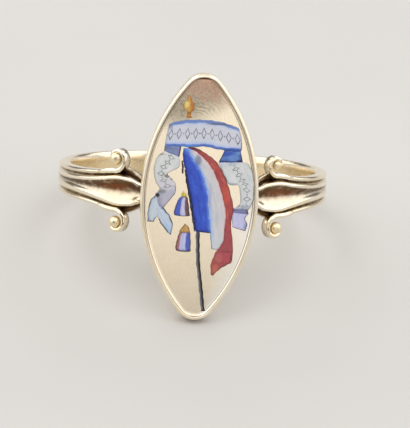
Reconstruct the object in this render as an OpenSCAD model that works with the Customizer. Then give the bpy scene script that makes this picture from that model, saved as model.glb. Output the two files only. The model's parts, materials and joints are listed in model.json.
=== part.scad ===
// Navette ring: a gold hoop with fluted, scrolled shoulders and a navette tray that holds a painted plaque.
// It lies on its side as a ring does by itself, on the tray's lower tip and the back of the hoop.
// The ring's own frame has the finger along Z and the tray towards -Y; rest() lays it on the floor.

/* [Finger hoop] */
// Inside diameter, which sets the finger size
finger_d = 17.5; // [15.5:0.1:20.5]
// Thickness of the plain band at the back
band_t = 0.85; // [0.75:0.05:1.2]
// Width of the plain band at the back
band_w = 2.1; // [1.7:0.1:2.8]
// Rounding of the band's outer edges
band_round = 0.35; // [0.15:0.05:0.45]
// Width of the strip of hoop that crosses under the tray
bridge_w = 1.6; // [1.2:0.1:2]

/* [Shoulders] */
// Length of a fluted shoulder along the hoop, from the tray to the plain band
shoulder_l = 13.6; // [11:0.1:16]
// Width over a shoulder's two edge wires, at its widest
shoulder_w = 3.3; // [2.8:0.1:3.8]
// Width from ridge to ridge across the flute, at its widest
flute_w = 1.8; // [1.5:0.1:2]
// Thickness of the flute's two ridges
ridge_t = 0.36; // [0.3:0.02:0.44]
// Depth of the flute below its ridges
flute_d = 0.65; // [0.4:0.05:0.85]
// Depth of the grooves between ridges and edge wires
groove_d = 0.4; // [0.25:0.05:0.5]
// Height of the ridges at the tray above the plain band
crest_rise = 0.45; // [0.3:0.05:0.6]
// Thickness of the edge wires
wire_t = 0.34; // [0.26:0.02:0.4]

/* [Scrolls] */
// Distance of a scroll's eye from the tray, along the hoop
scroll_u = 1.76; // [1.5:0.02:2.2]
// Height of a scroll's eye from the middle of the hoop
scroll_z = 2.2; // [2:0.05:2.4]
// Radius of a scroll where its wire starts to curl
scroll_r = 0.78; // [0.68:0.02:0.86]
// Diameter of the round eye in a scroll
eye_d = 0.8; // [0.6:0.02:0.84]
// Radial depth of a scroll's wire
scroll_depth = 0.7; // [0.6:0.05:0.9]

/* [Navette tray] */
// Length of the navette, along the finger
navette_l = 16.9; // [14:0.1:20]
// Width of the navette
navette_w = 8.05; // [7:0.05:9]
// Radius of the navette's two tips
tip_r = 1.5; // [1.2:0.1:2.2]
// Height of the tray, from its back to its rim
tray_h = 1.4; // [1.3:0.05:1.8]
// Distance of the tray's back from the finger
tray_gap = 0.4; // [0.3:0.05:0.6]
// Width of the tray's rounded rim
rim_w = 0.34; // [0.28:0.02:0.5]
// Chamfer round the tray's back
back_chamfer = 0.3; // [0.15:0.05:0.4]

/* [Plaque and enamel] */
// Thickness of the painted sheet
plaque_t = 0.45; // [0.3:0.05:0.6]
// Depth of the sheet's face below the rim
plaque_drop = 0.2; // [0.18:0.02:0.3]
// Width of the bevel round the sheet
plaque_bevel = 0.14; // [0.1:0.02:0.2]
// Room between the sheet and the tray
plaque_clear = 0.03; // [0.02:0.01:0.05]
// Thickness of a painted field
enamel_t = 0.12; // [0.08:0.01:0.14]
// Room under a painted field
enamel_gap = 0.03; // [0.02:0.01:0.05]
// Gap between painted fields that lie side by side
field_gap = 0.05; // [0.03:0.01:0.08]

/* [Hidden] */

gold = [0.86, 0.70, 0.42];
pale_gold = [0.90, 0.80, 0.58];
ribbon_colour = [0.76, 0.79, 0.88];
amber = [0.82, 0.60, 0.20];

// Radii of the hoop, and distances of the tray's faces from the finger's axis
bore_r = finger_d / 2;
band_r = bore_r + band_t;
bore_spare = 0.1;
rough_bore_r = bore_r - bore_spare;
tray_back = bore_r + tray_gap;
tray_front = tray_back + tray_h;
plaque_front = tray_front - plaque_drop;
tray_floor = plaque_front - plaque_t - plaque_clear;
bridge_embed = 0.15;

// How far the edge wires stay below the ridges, and the ridges' outer side below their inner side
wire_drop = 0.05;
ridge_fall = 0.02;

// The navette's sides are arcs that run smoothly into the two tip arcs
half_l = navette_l / 2;
half_w = navette_w / 2;
side_r = (pow(half_w, 2) + pow(half_l - tip_r, 2) - pow(tip_r, 2)) / (2 * (half_w - tip_r));
side_c = side_r - half_w;
tip_c = half_l - tip_r;
tip_turn = atan2(side_c, tip_c);
side_steps = 20;
tip_steps = 8;

// The painted figure is drawn in shares of the plaque's half width and half length
paint_w = half_w - rim_w - plaque_clear;
paint_l = half_l - rim_w - plaque_clear;

// Angle round the hoop, from the tray's middle, at which the tray's side stands
tray_angle = asin(half_w / band_r);
bridge_steps = 4;
shoulder_steps = 26;
back_steps = 10;

// Sections of a shoulder. along: share of shoulder_l from the tray. ridge: the ridge's place, share of half
// flute_w. spread: 0 at the band's width, 1 at shoulder_w. crest: share of crest_rise. flute and groove:
// shares of their depths. wire: height of the edge wire, 0 at the groove, 1 at the ridge. relief: 0 is plain band
along = 0;
ridge = 1;
spread = 2;
crest = 3;
flute = 4;
groove = 5;
wire = 6;
relief = 7;
shoulder_rows = [
    [-0.03, 0.30, -0.40, 1.00, 0.10, 0.90, 0.00, 1],
    [0.00, 0.48, -0.15, 1.00, 0.35, 1.10, 0.00, 1],
    [0.03, 0.78, 0.25, 0.97, 0.75, 1.50, 0.00, 1],
    [0.07, 0.97, 0.75, 0.90, 0.95, 1.70, 0.00, 1],
    [0.105, 1.00, 0.98, 0.82, 1.00, 1.50, 0.15, 1],
    [0.15, 0.95, 0.78, 0.73, 1.00, 1.20, 0.60, 1],
    [0.205, 0.80, 0.54, 0.62, 0.95, 1.05, 0.95, 1],
    [0.32, 0.58, 0.26, 0.42, 0.78, 1.00, 1.00, 1],
    [0.44, 0.46, 0.12, 0.27, 0.60, 0.90, 1.00, 1],
    [0.60, 0.39, 0.03, 0.14, 0.45, 0.80, 1.00, 1],
    [0.82, 0.35, 0.00, 0.03, 0.32, 0.70, 1.00, 0.70],
    [1.00, 0.33, 0.00, 0.00, 0.25, 0.60, 1.00, 0.00]];

// The scroll's spiral round its eye. turn: angle from the tray's side, up. reach: share of scroll_r
turn = 0;
reach = 1;
spiral_rows = [[-100, 1.12], [-70, 1.08], [-40, 1.02], [0, 0.94], [45, 0.82], [90, 0.64], [125, 0.49], [150, 0.38]];
spiral_steps = 18;
// The wire's way into the scroll. back: distance behind the eye, share of scroll_r. place: 0 at the hoop's
// edge wire, 1 at the spiral's start. size: share of the wire's thickness. lift: share of its height
back = 0;
place = 1;
size = 2;
lift = 3;
lead_rows = [[2.8, 0.00, 0.40, 0.25], [2.0, 0.04, 0.65, 0.75], [1.45, 0.15, 0.90, 0.95], [0.9, 0.42, 1.00, 1.00]];

// Painted edges and outlines, in shares of paint_w across and paint_l along. The third value is 1 where the
// line runs smoothly through the point, and 0 at a corner
hoist_edge = [[-0.32, 0.39], [-0.305, 0.29], [-0.235, 0.16], [-0.135, -0.03], [-0.03, -0.285]];
blue_edge = [[-0.23, 0.39], [-0.08, 0.295], [0.055, 0.19], [0.15, 0.06], [0.195, -0.08], [0.25, -0.30]];
white_hem = [[0.268, -0.365], [0.285, -0.43]];
white_edge = [[-0.09, 0.39], [0.06, 0.34], [0.24, 0.24], [0.38, 0.11], [0.48, -0.03], [0.525, -0.16], [0.505, -0.33],
              [0.39, -0.44]];
fly_edge = [[0.055, 0.39], [0.29, 0.317], [0.44, 0.22], [0.55, 0.11], [0.635, -0.02], [0.655, -0.12],
            [0.635, -0.23], [0.665, -0.40], [0.655, -0.53]];
red_tail = [[0.47, -0.59], [0.34, -0.655], [0.295, -0.645], [0.288, -0.565], [0.318, -0.50]];
staff_left = [[-0.375, 0.39], [-0.345, 0.28], [-0.275, 0.15], [-0.175, -0.03], [-0.065, -0.285], [0.015, -0.55],
              [0.078, -0.74], [0.14, -0.935]];
staff_foot = [[0.0, -0.325], [0.06, -0.33], [0.087, -0.55], [0.148, -0.74], [0.207, -0.935]];
ribbon_top_upper = [[-0.60, 0.615], [-0.38, 0.645], [-0.12, 0.657], [0.17, 0.657], [0.44, 0.637], [0.68, 0.60]];
ribbon_top_lower = [[-0.67, 0.42], [-0.43, 0.427], [-0.19, 0.427], [0.09, 0.433], [0.30, 0.42], [0.53, 0.408],
                    [0.75, 0.403]];
ribbon_left_rows = [
    [-0.67, 0.395, 0], [-0.80, 0.328, 1], [-0.832, 0.27, 1], [-0.84, 0.202, 1], [-0.80, 0.135, 1],
    [-0.725, 0.06, 0], [-0.795, 0.015, 0], [-0.90, -0.06, 1], [-0.93, -0.14, 1], [-0.93, -0.218, 0],
    [-0.835, -0.22, 0], [-0.785, -0.175, 0], [-0.705, -0.23, 1], [-0.525, -0.325, 0], [-0.486, -0.31, 1],
    [-0.47, -0.245, 1], [-0.51, -0.185, 1], [-0.575, -0.135, 1], [-0.655, -0.095, 0], [-0.575, -0.055, 1],
    [-0.51, -0.015, 1], [-0.44, 0.03, 1], [-0.42, 0.09, 1], [-0.455, 0.13, 1], [-0.585, 0.19, 0],
    [-0.48, 0.225, 1], [-0.38, 0.26, 0], [-0.40, 0.34, 1], [-0.40, 0.395, 0]];
ribbon_right_rows = [
    [0.75, 0.385, 0], [0.735, 0.345, 1], [0.80, 0.315, 0], [0.885, 0.30, 1], [0.925, 0.25, 1], [0.945, 0.18, 1],
    [0.955, 0.085, 1], [0.95, 0.015, 1], [0.935, -0.045, 1], [0.90, -0.087, 0], [0.95, -0.12, 0],
    [0.89, -0.173, 0], [0.935, -0.22, 1], [0.905, -0.265, 0], [0.80, -0.245, 1], [0.675, -0.232, 0],
    [0.685, -0.12, 0], [0.69, -0.085, 0], [0.71, -0.066, 0], [0.80, -0.03, 0], [0.785, 0.05, 1], [0.755, 0.115, 0],
    [0.58, 0.115, 0], [0.475, 0.22, 0], [0.345, 0.307, 0], [0.46, 0.385, 0]];
finial_rows = [
    [-0.24, 0.865, 0], [-0.35, 0.77, 1], [-0.28, 0.715, 1], [-0.295, 0.68, 0], [-0.18, 0.68, 0], [-0.19, 0.715, 1],
    [-0.135, 0.77, 1]];
tassel_upper_rows = [
    [-0.33, 0.022, 1], [-0.37, -0.003, 1], [-0.415, -0.063, 1], [-0.443, -0.125, 1], [-0.42, -0.156, 1],
    [-0.345, -0.168, 1], [-0.25, -0.167, 1], [-0.16, -0.158, 0], [-0.175, -0.107, 1], [-0.20, -0.054, 1],
    [-0.22, -0.01, 1], [-0.24, 0.03, 1], [-0.28, 0.045, 1]];
tassel_lower_rows = [
    [-0.21, -0.225, 1], [-0.325, -0.30, 1], [-0.385, -0.425, 1], [-0.355, -0.462, 1], [-0.23, -0.474, 1],
    [-0.10, -0.463, 0], [-0.11, -0.36, 1], [-0.13, -0.29, 1]];
curve_steps = 4;

// The ring tips back until the tray's lower tip and the back of the hoop are both on the floor
tilt_y = tray_back + back_chamfer + band_r - band_round;
tilt_z = half_l - band_w / 2 + band_round;
tilt = atan2(tilt_z, tilt_y) - asin(band_round / norm([tilt_y, tilt_z]));
floor_drop = half_l * cos(tilt) - (tray_back + back_chamfer) * sin(tilt);
front_y = -tray_front * cos(tilt) - (half_l - rim_w / 2) * sin(tilt);
back_y = band_r * cos(tilt) + (band_w / 2 - band_round) * sin(tilt);
middle_y = (front_y + back_y) / 2;

function degrees(mm, r) = mm / r * 180 / PI;
function mix(a, b, k) = a + (b - a) * k;

// A point at an angle from the tray's middle, at a radius and a height
function polar(angle, r, z) = [r * sin(angle), -r * cos(angle), z];

// Index of the row below a share in a table's first column
function row_of(rows, s, i = 0) =
    i >= len(rows) - 2 || s < rows[i + 1][0] ? i : row_of(rows, s, i + 1);

// Slope of a column at a row, from the rows on each side
function slope(rows, c, i) =
    let (a = max(i - 1, 0), b = min(i + 1, len(rows) - 1))
    (rows[b][c] - rows[a][c]) / (rows[b][0] - rows[a][0]);

// Value between two ends with given slopes at them
function hermite(a, b, slope_a, slope_b, k) =
    (2 * pow(k, 3) - 3 * pow(k, 2) + 1) * a + (pow(k, 3) - 2 * pow(k, 2) + k) * slope_a
    + (3 * pow(k, 2) - 2 * pow(k, 3)) * b + (pow(k, 3) - pow(k, 2)) * slope_b;

// Value of a column at a share, on a smooth curve through the rows
function smooth(rows, c, s) =
    let (i = row_of(rows, s), d = rows[i + 1][0] - rows[i][0])
    hermite(rows[i][c], rows[i + 1][c], d * slope(rows, c, i), d * slope(rows, c, i + 1), (s - rows[i][0]) / d);

// Smooth open curve through points
function curve(points) =
    [for (i = [0:len(points) - 2], k = [0:curve_steps - 1])
        let (a = points[max(i - 1, 0)], b = points[i], c = points[i + 1], d = points[min(i + 2, len(points) - 1)])
        hermite(b, c, (c - a) / 2, (d - b) / 2, k / curve_steps),
     points[len(points) - 1]];

// Closed outline through rows of across, along and smoothness
function outline(rows) =
    [for (i = [0:len(rows) - 1])
        let (n = len(rows), a = flat(rows[(i + n - 1) % n]), b = flat(rows[i]), c = flat(rows[(i + 1) % n]),
             d = flat(rows[(i + 2) % n]), from = rows[i][2], to = rows[(i + 1) % n][2],
             steps = from + to > 0 ? curve_steps : 1)
        for (k = [0:steps - 1])
            hermite(b, c, from == 1 ? (c - a) / 2 : c - b, to == 1 ? (d - b) / 2 : c - b, k / steps)];

function flat(row) = [row[0], row[1]];
function reverse(list) = [for (i = [len(list) - 1:-1:0]) list[i]];
function shift(points, across) = [for (p = points) [p[0] + across, p[1]]];

// Triangles and caps of a solid made of equal closed rings of points, one after another
function ring_faces(rings, count, closed) =
    concat(
        [for (i = [0:rings - (closed ? 1 : 2)], j = [0:count - 1])
            let (a = i * count, b = ((i + 1) % rings) * count, k = (j + 1) % count)
            each [[a + j, a + k, b + k], [a + j, b + k, b + j]]],
        closed ? [] : [[for (j = [count - 1:-1:0]) j], [for (j = [0:count - 1]) (rings - 1) * count + j]]);

module rings_solid(rings, closed = false) {
    polyhedron([for (r = rings) each r], ring_faces(len(rings), len(rings[0]), closed), convexity = 8);
}

// Half of the plain band's section, from its middle to its inner edge, as height and radius
function plain_half(e) =
    let (level = e - band_round)
    concat([for (k = [0, 0.2, 0.36, 0.5, 0.62, 0.74, 0.86, 1]) [k * level, band_r]],
           [[e - 0.6 * band_round, band_r - 0.08 * band_round], [e - 0.2 * band_round, band_r - 0.4 * band_round],
            [e, band_r - band_round], [e, rough_bore_r]]);

// Half of a shoulder's section at a share along it: flute, ridge, groove and edge wire
function relief_half(s, e) =
    let (top = band_r + crest_rise * smooth(shoulder_rows, crest, s),
         middle = flute_w / 2 * smooth(shoulder_rows, ridge, s),
         hollow = flute_d * smooth(shoulder_rows, flute, s),
         low = top - groove_d * smooth(shoulder_rows, groove, s),
         bead = mix(low, top - wire_drop, smooth(shoulder_rows, wire, s)),
         inner = middle - 0.5 * ridge_t,
         outer = middle + 0.45 * ridge_t,
         t = wire_t / 2,
         gap = e - 2 * t - outer)
    [[0, top - hollow], [0.5 * inner, top - 0.84 * hollow], [0.95 * inner, top - 0.42 * hollow],
     [middle - 0.2 * ridge_t, top], [middle + 0.2 * ridge_t, top - ridge_fall], [outer, mix(top, low, 0.25)],
     [outer + 0.8 * gap, low], [e - 1.75 * t, mix(low, bead, 0.7)], [e - t, bead],
     [e - 0.25 * t, bead - 0.4 * t], [e, bead - 1.1 * t], [e, rough_bore_r]];

// Half of the section of the strip under the tray: its outer face lies flat inside the tray's back
function bridge_half(angle, e) =
    let (top = (tray_back + bridge_embed) / cos(angle))
    [for (k = [0, 0.2, 0.36, 0.46, 0.56, 0.65, 0.73, 0.81, 0.88, 0.94, 1]) [k * e, top], [e, rough_bore_r]];

// Whole ring of points at an angle, mirrored from half a section
function hoop_ring(angle, half) =
    concat([for (p = half) polar(angle, p[1], p[0])],
           [for (i = [len(half) - 1:-1:1]) polar(angle, half[i][1], -half[i][0])]);

function shoulder_angle(u) = tray_angle + degrees(u, band_r);
function shoulder_edge(s) = band_w / 2 + smooth(shoulder_rows, spread, s) * (shoulder_w - band_w) / 2;

function shoulder_half(s) =
    let (e = shoulder_edge(s), k = smooth(shoulder_rows, relief, s), a = plain_half(e), b = relief_half(s, e))
    [for (i = [0:len(a) - 1]) mix(a[i], b[i], k)];

// Angle and half section of every station from the tray's middle to the back of the hoop
first_s = shoulder_rows[0][along];
first_angle = shoulder_angle(first_s * shoulder_l);
last_angle = shoulder_angle(shoulder_l);
half_hoop = concat(
    [for (i = [0:bridge_steps - 1])
        let (angle = first_angle * 0.85 * i / (bridge_steps - 1)) [angle, bridge_half(angle, bridge_w / 2)]],
    [for (i = [0:shoulder_steps])
        let (s = mix(first_s, 1, pow(i / shoulder_steps, 1.5))) [shoulder_angle(s * shoulder_l), shoulder_half(s)]],
    [for (i = [1:back_steps])
        [mix(last_angle, 180, i / back_steps), plain_half(band_w / 2)]]);

module hoop() {
    rings_solid(concat(
        [for (s = half_hoop) hoop_ring(s[0], s[1])],
        [for (i = [len(half_hoop) - 2:-1:1]) hoop_ring(-half_hoop[i][0], half_hoop[i][1])]), closed = true);
}

// Outer radius of the scroll's wire, from its lead to its eye
scroll_top = band_r + 0.8 * crest_rise;

// Stations of a scroll: place along and across the hoop, share of thickness and share of height
function spiral_point(angle) =
    let (r = scroll_r * smooth(spiral_rows, reach, angle))
    [scroll_u - r * cos(angle), scroll_z + r * sin(angle)];
spiral_start = spiral_point(spiral_rows[0][turn]);
scroll_path = concat(
    [for (l = lead_rows)
        let (u = scroll_u + l[back] * scroll_r, edge = shoulder_edge(u / shoulder_l) - wire_t / 2)
        [u, mix(edge, spiral_start[1], l[place]), l[size], l[lift]]],
    [for (i = [0:spiral_steps])
        let (angle = mix(spiral_rows[0][turn], spiral_rows[len(spiral_rows) - 1][turn], i / spiral_steps),
             p = spiral_point(angle))
        [p[0], p[1], mix(1, 0.65, pow(i / spiral_steps, 3)), 1]]);

// Ring of points of the scroll's wire at a station, on one side of the hoop and above or below its middle
function scroll_ring(i, side, up) =
    let (n = len(scroll_path), p = scroll_path[i],
         ahead = scroll_path[min(i + 1, n - 1)], behind = scroll_path[max(i - 1, 0)],
         way = [ahead[0] - behind[0], ahead[1] - behind[1]] / norm([ahead[0] - behind[0], ahead[1] - behind[1]]),
         t = wire_t / 2 * p[2],
         low = scroll_top - scroll_depth,
         top = mix(low, scroll_top, p[3]),
         section = [[-t, low], [-t, top - 0.7 * t], [-0.72 * t, top - 0.2 * t], [-0.25 * t, top],
                    [0.25 * t, top], [0.72 * t, top - 0.2 * t], [t, top - 0.7 * t], [t, low]])
    [for (q = side * up > 0 ? section : reverse(section))
        polar(side * shoulder_angle(p[0] - q[0] * way[1]), q[1], up * (p[1] + q[0] * way[0]))];

module scroll(side, up) {
    rings_solid([for (i = [0:len(scroll_path) - 1]) scroll_ring(i, side, up)]);
    translate(polar(side * shoulder_angle(scroll_u), scroll_top - 0.35 * eye_d, up * scroll_z))
        sphere(d = eye_d, $fn = 24);
}

// Points of the navette's outline, drawn in by an inset, anticlockwise as seen from the finger
function navette(inset) =
    let (quarter = 90 - tip_turn, r = side_r - inset, t = tip_r - inset)
    [for (side = [0, 180], i = [0:side_steps - 1])
        let (a = mix(-quarter, quarter, i / side_steps), m = side == 0 ? 1 : -1)
        each concat(
            [[m * (r * cos(a) - side_c), m * r * sin(a)]],
            i < side_steps - 1 ? [] :
                [for (k = [0:tip_steps - 1])
                    let (b = mix(quarter, 180 - quarter, k / tip_steps))
                    [m * t * cos(b), m * (tip_c + t * sin(b))]])];

// A navette ring of points at a distance from the finger's axis
function navette_ring(inset, distance) = [for (p = navette(inset)) [-p[0], -distance, p[1]]];

// Tray: back, wall, rounded rim and the recess that takes the plaque
module tray() {
    rings_solid([
        navette_ring(back_chamfer, tray_back),
        navette_ring(0, tray_back + back_chamfer),
        navette_ring(0, tray_front - 0.8 * rim_w),
        navette_ring(0.12 * rim_w, tray_front - 0.3 * rim_w),
        navette_ring(0.45 * rim_w, tray_front),
        navette_ring(0.8 * rim_w, tray_front - 0.2 * rim_w),
        navette_ring(rim_w, tray_front - 0.55 * rim_w),
        navette_ring(rim_w, tray_floor)]);
}

// Lays the ring on the floor, with the middle of its box over the origin
module rest() {
    translate([0, -middle_y, floor_drop]) rotate([-tilt, 0, 0]) children();
}

module ring() {
    color(gold) rest() difference() {
        union() {
            hoop();
            tray();
            for (side = [-1, 1], up = [-1, 1]) scroll(side, up);
        }
        translate([0, 0, -navette_l]) cylinder(r = bore_r, h = 2 * navette_l, $fn = 120);
    }
}

module plaque() {
    inset = rim_w + plaque_clear;
    color(pale_gold) rest() rings_solid([
        navette_ring(inset, tray_floor + plaque_clear),
        navette_ring(inset, plaque_front - 0.5 * plaque_bevel),
        navette_ring(inset + plaque_bevel, plaque_front)]);
}

// A painted field on the plaque
module painted(points) {
    rest() translate([0, -plaque_front - enamel_gap, 0]) rotate([90, 0, 0])
        linear_extrude(enamel_t) scale([paint_w, paint_l]) polygon(points);
}

half_gap = field_gap / 2 / paint_w;

module flag_blue() {
    color([0.16, 0.25, 0.68])
        painted(concat(curve(hoist_edge), reverse(shift(curve(blue_edge), -half_gap))));
}

module flag_white() {
    color([0.85, 0.86, 0.88])
        painted(concat(shift(curve(concat(blue_edge, white_hem)), half_gap),
                       reverse(shift(curve(white_edge), -half_gap))));
}

module flag_red() {
    color([0.68, 0.20, 0.20])
        painted(concat(shift(curve(white_edge), half_gap), reverse(curve(concat(fly_edge, red_tail)))));
}

module staff() {
    color([0.25, 0.23, 0.20])
        painted(concat(curve(staff_left), reverse(curve(staff_foot)),
                       reverse(shift(curve(hoist_edge), -2 * half_gap))));
}

module ribbon_top() {
    color(ribbon_colour) painted(concat(curve(ribbon_top_upper), reverse(curve(ribbon_top_lower))));
}

module ribbon_left() {
    color(ribbon_colour) painted(outline(ribbon_left_rows));
}

module ribbon_right() {
    color(ribbon_colour) painted(outline(ribbon_right_rows));
}

module finial() {
    color(amber) painted(outline(finial_rows));
}

module tassel_upper() {
    color([0.35, 0.38, 0.68]) painted(outline(tassel_upper_rows));
}

module tassel_lower() {
    color([0.55, 0.42, 0.55]) painted(outline(tassel_lower_rows));
}

ring();
plaque();
ribbon_top();
ribbon_left();
ribbon_right();
flag_blue();
flag_white();
flag_red();
staff();
finial();
tassel_upper();
tassel_lower();
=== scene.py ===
import json
import math

import bpy
import numpy as np
from mathutils import Matrix, Vector


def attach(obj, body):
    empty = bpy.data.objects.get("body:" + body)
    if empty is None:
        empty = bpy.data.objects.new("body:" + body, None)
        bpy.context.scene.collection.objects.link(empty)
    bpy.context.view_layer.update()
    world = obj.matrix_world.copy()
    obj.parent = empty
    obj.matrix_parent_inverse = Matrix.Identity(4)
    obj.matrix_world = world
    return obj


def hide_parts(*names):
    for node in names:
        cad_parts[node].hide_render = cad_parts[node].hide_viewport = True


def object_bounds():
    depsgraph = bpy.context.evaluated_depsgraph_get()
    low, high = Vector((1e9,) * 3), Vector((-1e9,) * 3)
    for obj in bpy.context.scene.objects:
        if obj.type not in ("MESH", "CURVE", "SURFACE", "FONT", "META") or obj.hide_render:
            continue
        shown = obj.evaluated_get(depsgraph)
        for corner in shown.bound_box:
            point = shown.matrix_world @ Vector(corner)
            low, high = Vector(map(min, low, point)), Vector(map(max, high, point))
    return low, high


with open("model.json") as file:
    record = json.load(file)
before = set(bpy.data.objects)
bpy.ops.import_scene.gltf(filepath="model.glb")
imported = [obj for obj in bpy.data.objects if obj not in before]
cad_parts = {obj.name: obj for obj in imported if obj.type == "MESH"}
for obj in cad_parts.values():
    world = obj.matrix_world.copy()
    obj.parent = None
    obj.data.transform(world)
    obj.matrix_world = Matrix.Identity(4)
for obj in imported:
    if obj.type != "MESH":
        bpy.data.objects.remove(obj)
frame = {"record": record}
cadLow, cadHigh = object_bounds()

# The navette ring: fine gold work, plaque and enamel, built in millimetres in the ring's own frame
# (finger along Z, navette towards -Y) and then laid on the floor as the finger mount says
mm = 0.001
finger = next(mount for mount in frame["record"]["mounts"] if mount["name"] == "finger")
lean = math.atan2(finger["axis"][1], finger["axis"][2])
hoopMiddle = Vector(finger["pos_m"])


def layDown(points):
    points = np.asarray(points, dtype=float)
    x, y, z = points[:, 0], points[:, 1], points[:, 2]
    laid = np.stack([x, y * math.cos(lean) + z * math.sin(lean), z * math.cos(lean) - y * math.sin(lean)], 1)
    return laid * mm + np.array(hoopMiddle)


def mix(a, b, k):
    return a + (b - a) * k


def clamp(value, low=0.0, high=1.0):
    return max(low, min(high, value))


def smoothStep(value):
    value = np.clip(value, 0, 1)
    return value * value * (3 - 2 * value)


# 0 to 1 while a value goes from one place to another
def between(value, start, end):
    return smoothStep((value - start) / (end - start))


# A pigment's 0 to 255 screen colour, turned into linear light
def tone(screen):
    return tuple(((c / 255 + 0.055) / 1.055) ** 2.4 if c > 10 else c / 255 / 12.92 for c in screen)


# How much both ends and both slopes of a stretch count at a share of its way
def curveWeights(k):
    return 2 * k ** 3 - 3 * k ** 2 + 1, k ** 3 - 2 * k ** 2 + k, 3 * k ** 2 - 2 * k ** 3, k ** 3 - k ** 2


def slopeAt(rows, column, i):
    a, b = max(i - 1, 0), min(i + 1, len(rows) - 1)
    return (rows[b][column] - rows[a][column]) / (rows[b][0] - rows[a][0])


# Value of a column at a share, on a smooth curve through the rows
def smoothValue(rows, column, share):
    i = 0
    while i < len(rows) - 2 and share >= rows[i + 1][0]:
        i += 1
    width = rows[i + 1][0] - rows[i][0]
    start, startSlope, end, endSlope = curveWeights((share - rows[i][0]) / width)
    return (start * rows[i][column] + startSlope * width * slopeAt(rows, column, i)
            + end * rows[i + 1][column] + endSlope * width * slopeAt(rows, column, i + 1))


# Smooth open curve through points, with a number of steps for each stretch
def smoothLine(points, steps):
    points = [np.array(p, dtype=float) for p in points]
    line = []
    for i in range(len(points) - 1):
        before, here = points[max(i - 1, 0)], points[i]
        ahead, after = points[i + 1], points[min(i + 2, len(points) - 1)]
        for j in range(steps):
            start, startSlope, end, endSlope = curveWeights(j / steps)
            line.append(start * here + startSlope * (ahead - before) / 2
                        + end * ahead + endSlope * (after - here) / 2)
    line.append(points[-1])
    return np.array(line)


# The same curve with evenly spaced points
def evenLine(points, count):
    line = smoothLine(points, 12)
    run = np.concatenate([[0], np.cumsum(np.linalg.norm(np.diff(line, axis=0), axis=1))])
    wanted = np.linspace(0, run[-1], count)
    return np.stack([np.interp(wanted, run, line[:, 0]), np.interp(wanted, run, line[:, 1])], 1)


# A mesh piece with smooth faces, per-point values, a material and the node that it stands for
def makePiece(name, points, faces, values, material, node):
    mesh = bpy.data.meshes.new(name)
    mesh.from_pydata([tuple(p) for p in layDown(points)], [], [tuple(int(i) for i in f) for f in faces])
    mesh.validate()
    mesh.polygons.foreach_set("use_smooth", [True] * len(mesh.polygons))
    for key, numbers in values.items():
        layer = mesh.attributes.new(key, "FLOAT", "POINT")
        layer.data.foreach_set("value", np.asarray(numbers, dtype=np.float32))
    mesh.update()
    piece = bpy.data.objects.new(name, mesh)
    bpy.context.scene.collection.objects.link(piece)
    piece.data.materials.append(material)
    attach(piece, "root")
    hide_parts(node)


# Quads between equal closed rings of points, and flat ends unless the rings close on themselves
def ringFaces(rings, count, closed, first=0):
    faces = []
    for i in range(rings if closed else rings - 1):
        a, b = first + i * count, first + ((i + 1) % rings) * count
        for j in range(count):
            k = (j + 1) % count
            faces.append((a + j, b + j, b + k, a + k))
    if not closed:
        faces.append(tuple(first + j for j in range(count)))
        faces.append(tuple(first + (rings - 1) * count + j for j in reversed(range(count))))
    return faces


print("stage: frame read, finger leans", round(math.degrees(lean), 2))

# Small helpers that build shader trees


def newNode(tree, kind, **settings):
    node = tree.nodes.new(kind)
    for key, value in settings.items():
        if key in node.inputs:
            node.inputs[key].default_value = value
        else:
            setattr(node, key, value)
    return node


def feed(tree, socket, source):
    if isinstance(source, (int, float)):
        socket.default_value = source
    elif isinstance(source, tuple):
        socket.default_value = source if len(source) == 4 else (*source, 1.0)
    else:
        tree.links.new(source, socket)


def mathNode(tree, operation, *sources, limit=False):
    node = newNode(tree, "ShaderNodeMath", operation=operation, use_clamp=limit)
    for socket, source in zip(node.inputs, sources):
        feed(tree, socket, source)
    return node.outputs[0]


# One operation over several values in turn, held between 0 and 1 at the end where asked
def chain(tree, operation, values, limit):
    total = values[0]
    for value in values[1:-1]:
        total = mathNode(tree, operation, total, value)
    return mathNode(tree, operation, total, values[-1], limit=limit)


def plus(tree, *values, limit=False):
    return chain(tree, "ADD", values, limit)


def times(tree, *values, limit=False):
    return chain(tree, "MULTIPLY", values, limit)


def minus(tree, a, b):
    return mathNode(tree, "SUBTRACT", a, b)


def over(tree, a, b):
    return mathNode(tree, "DIVIDE", a, b)


def size(tree, a):
    return mathNode(tree, "ABSOLUTE", a)


def distance(tree, x, y):
    x, y = (mathNode(tree, "POWER", side, 2.0) for side in (x, y))
    return mathNode(tree, "SQRT", plus(tree, x, y))


def blendColour(tree, share, a, b):
    node = newNode(tree, "ShaderNodeMix", data_type="RGBA")
    for i, source in ((0, share), (6, a), (7, b)):
        feed(tree, node.inputs[i], source)
    return node.outputs[2]


def ramp(tree, source, low, high, start=0.0, end=1.0):
    node = newNode(tree, "ShaderNodeMapRange", interpolation_type="SMOOTHSTEP",
                   **{"From Min": low, "From Max": high, "To Min": start, "To Max": end})
    feed(tree, node.inputs["Value"], source)
    return node.outputs["Result"]


# Noise on the object's own place, with sizes given in bumps per millimetre
def grain(tree, perMm, detail=3.0, rough=0.6, stretch=(1, 1, 1), turn=(0, 0, 0)):
    place = tree.nodes.new("ShaderNodeTexCoord").outputs["Object"]
    mapping = newNode(tree, "ShaderNodeMapping", Rotation=turn, Scale=[perMm / mm * s for s in stretch])
    tree.links.new(place, mapping.inputs["Vector"])
    noise = newNode(tree, "ShaderNodeTexNoise", Scale=1.0, Detail=detail, Roughness=rough)
    tree.links.new(mapping.outputs["Vector"], noise.inputs["Vector"])
    return noise.outputs["Fac"]


def pointValue(tree, name):
    return newNode(tree, "ShaderNodeAttribute", attribute_name=name).outputs["Fac"]


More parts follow.
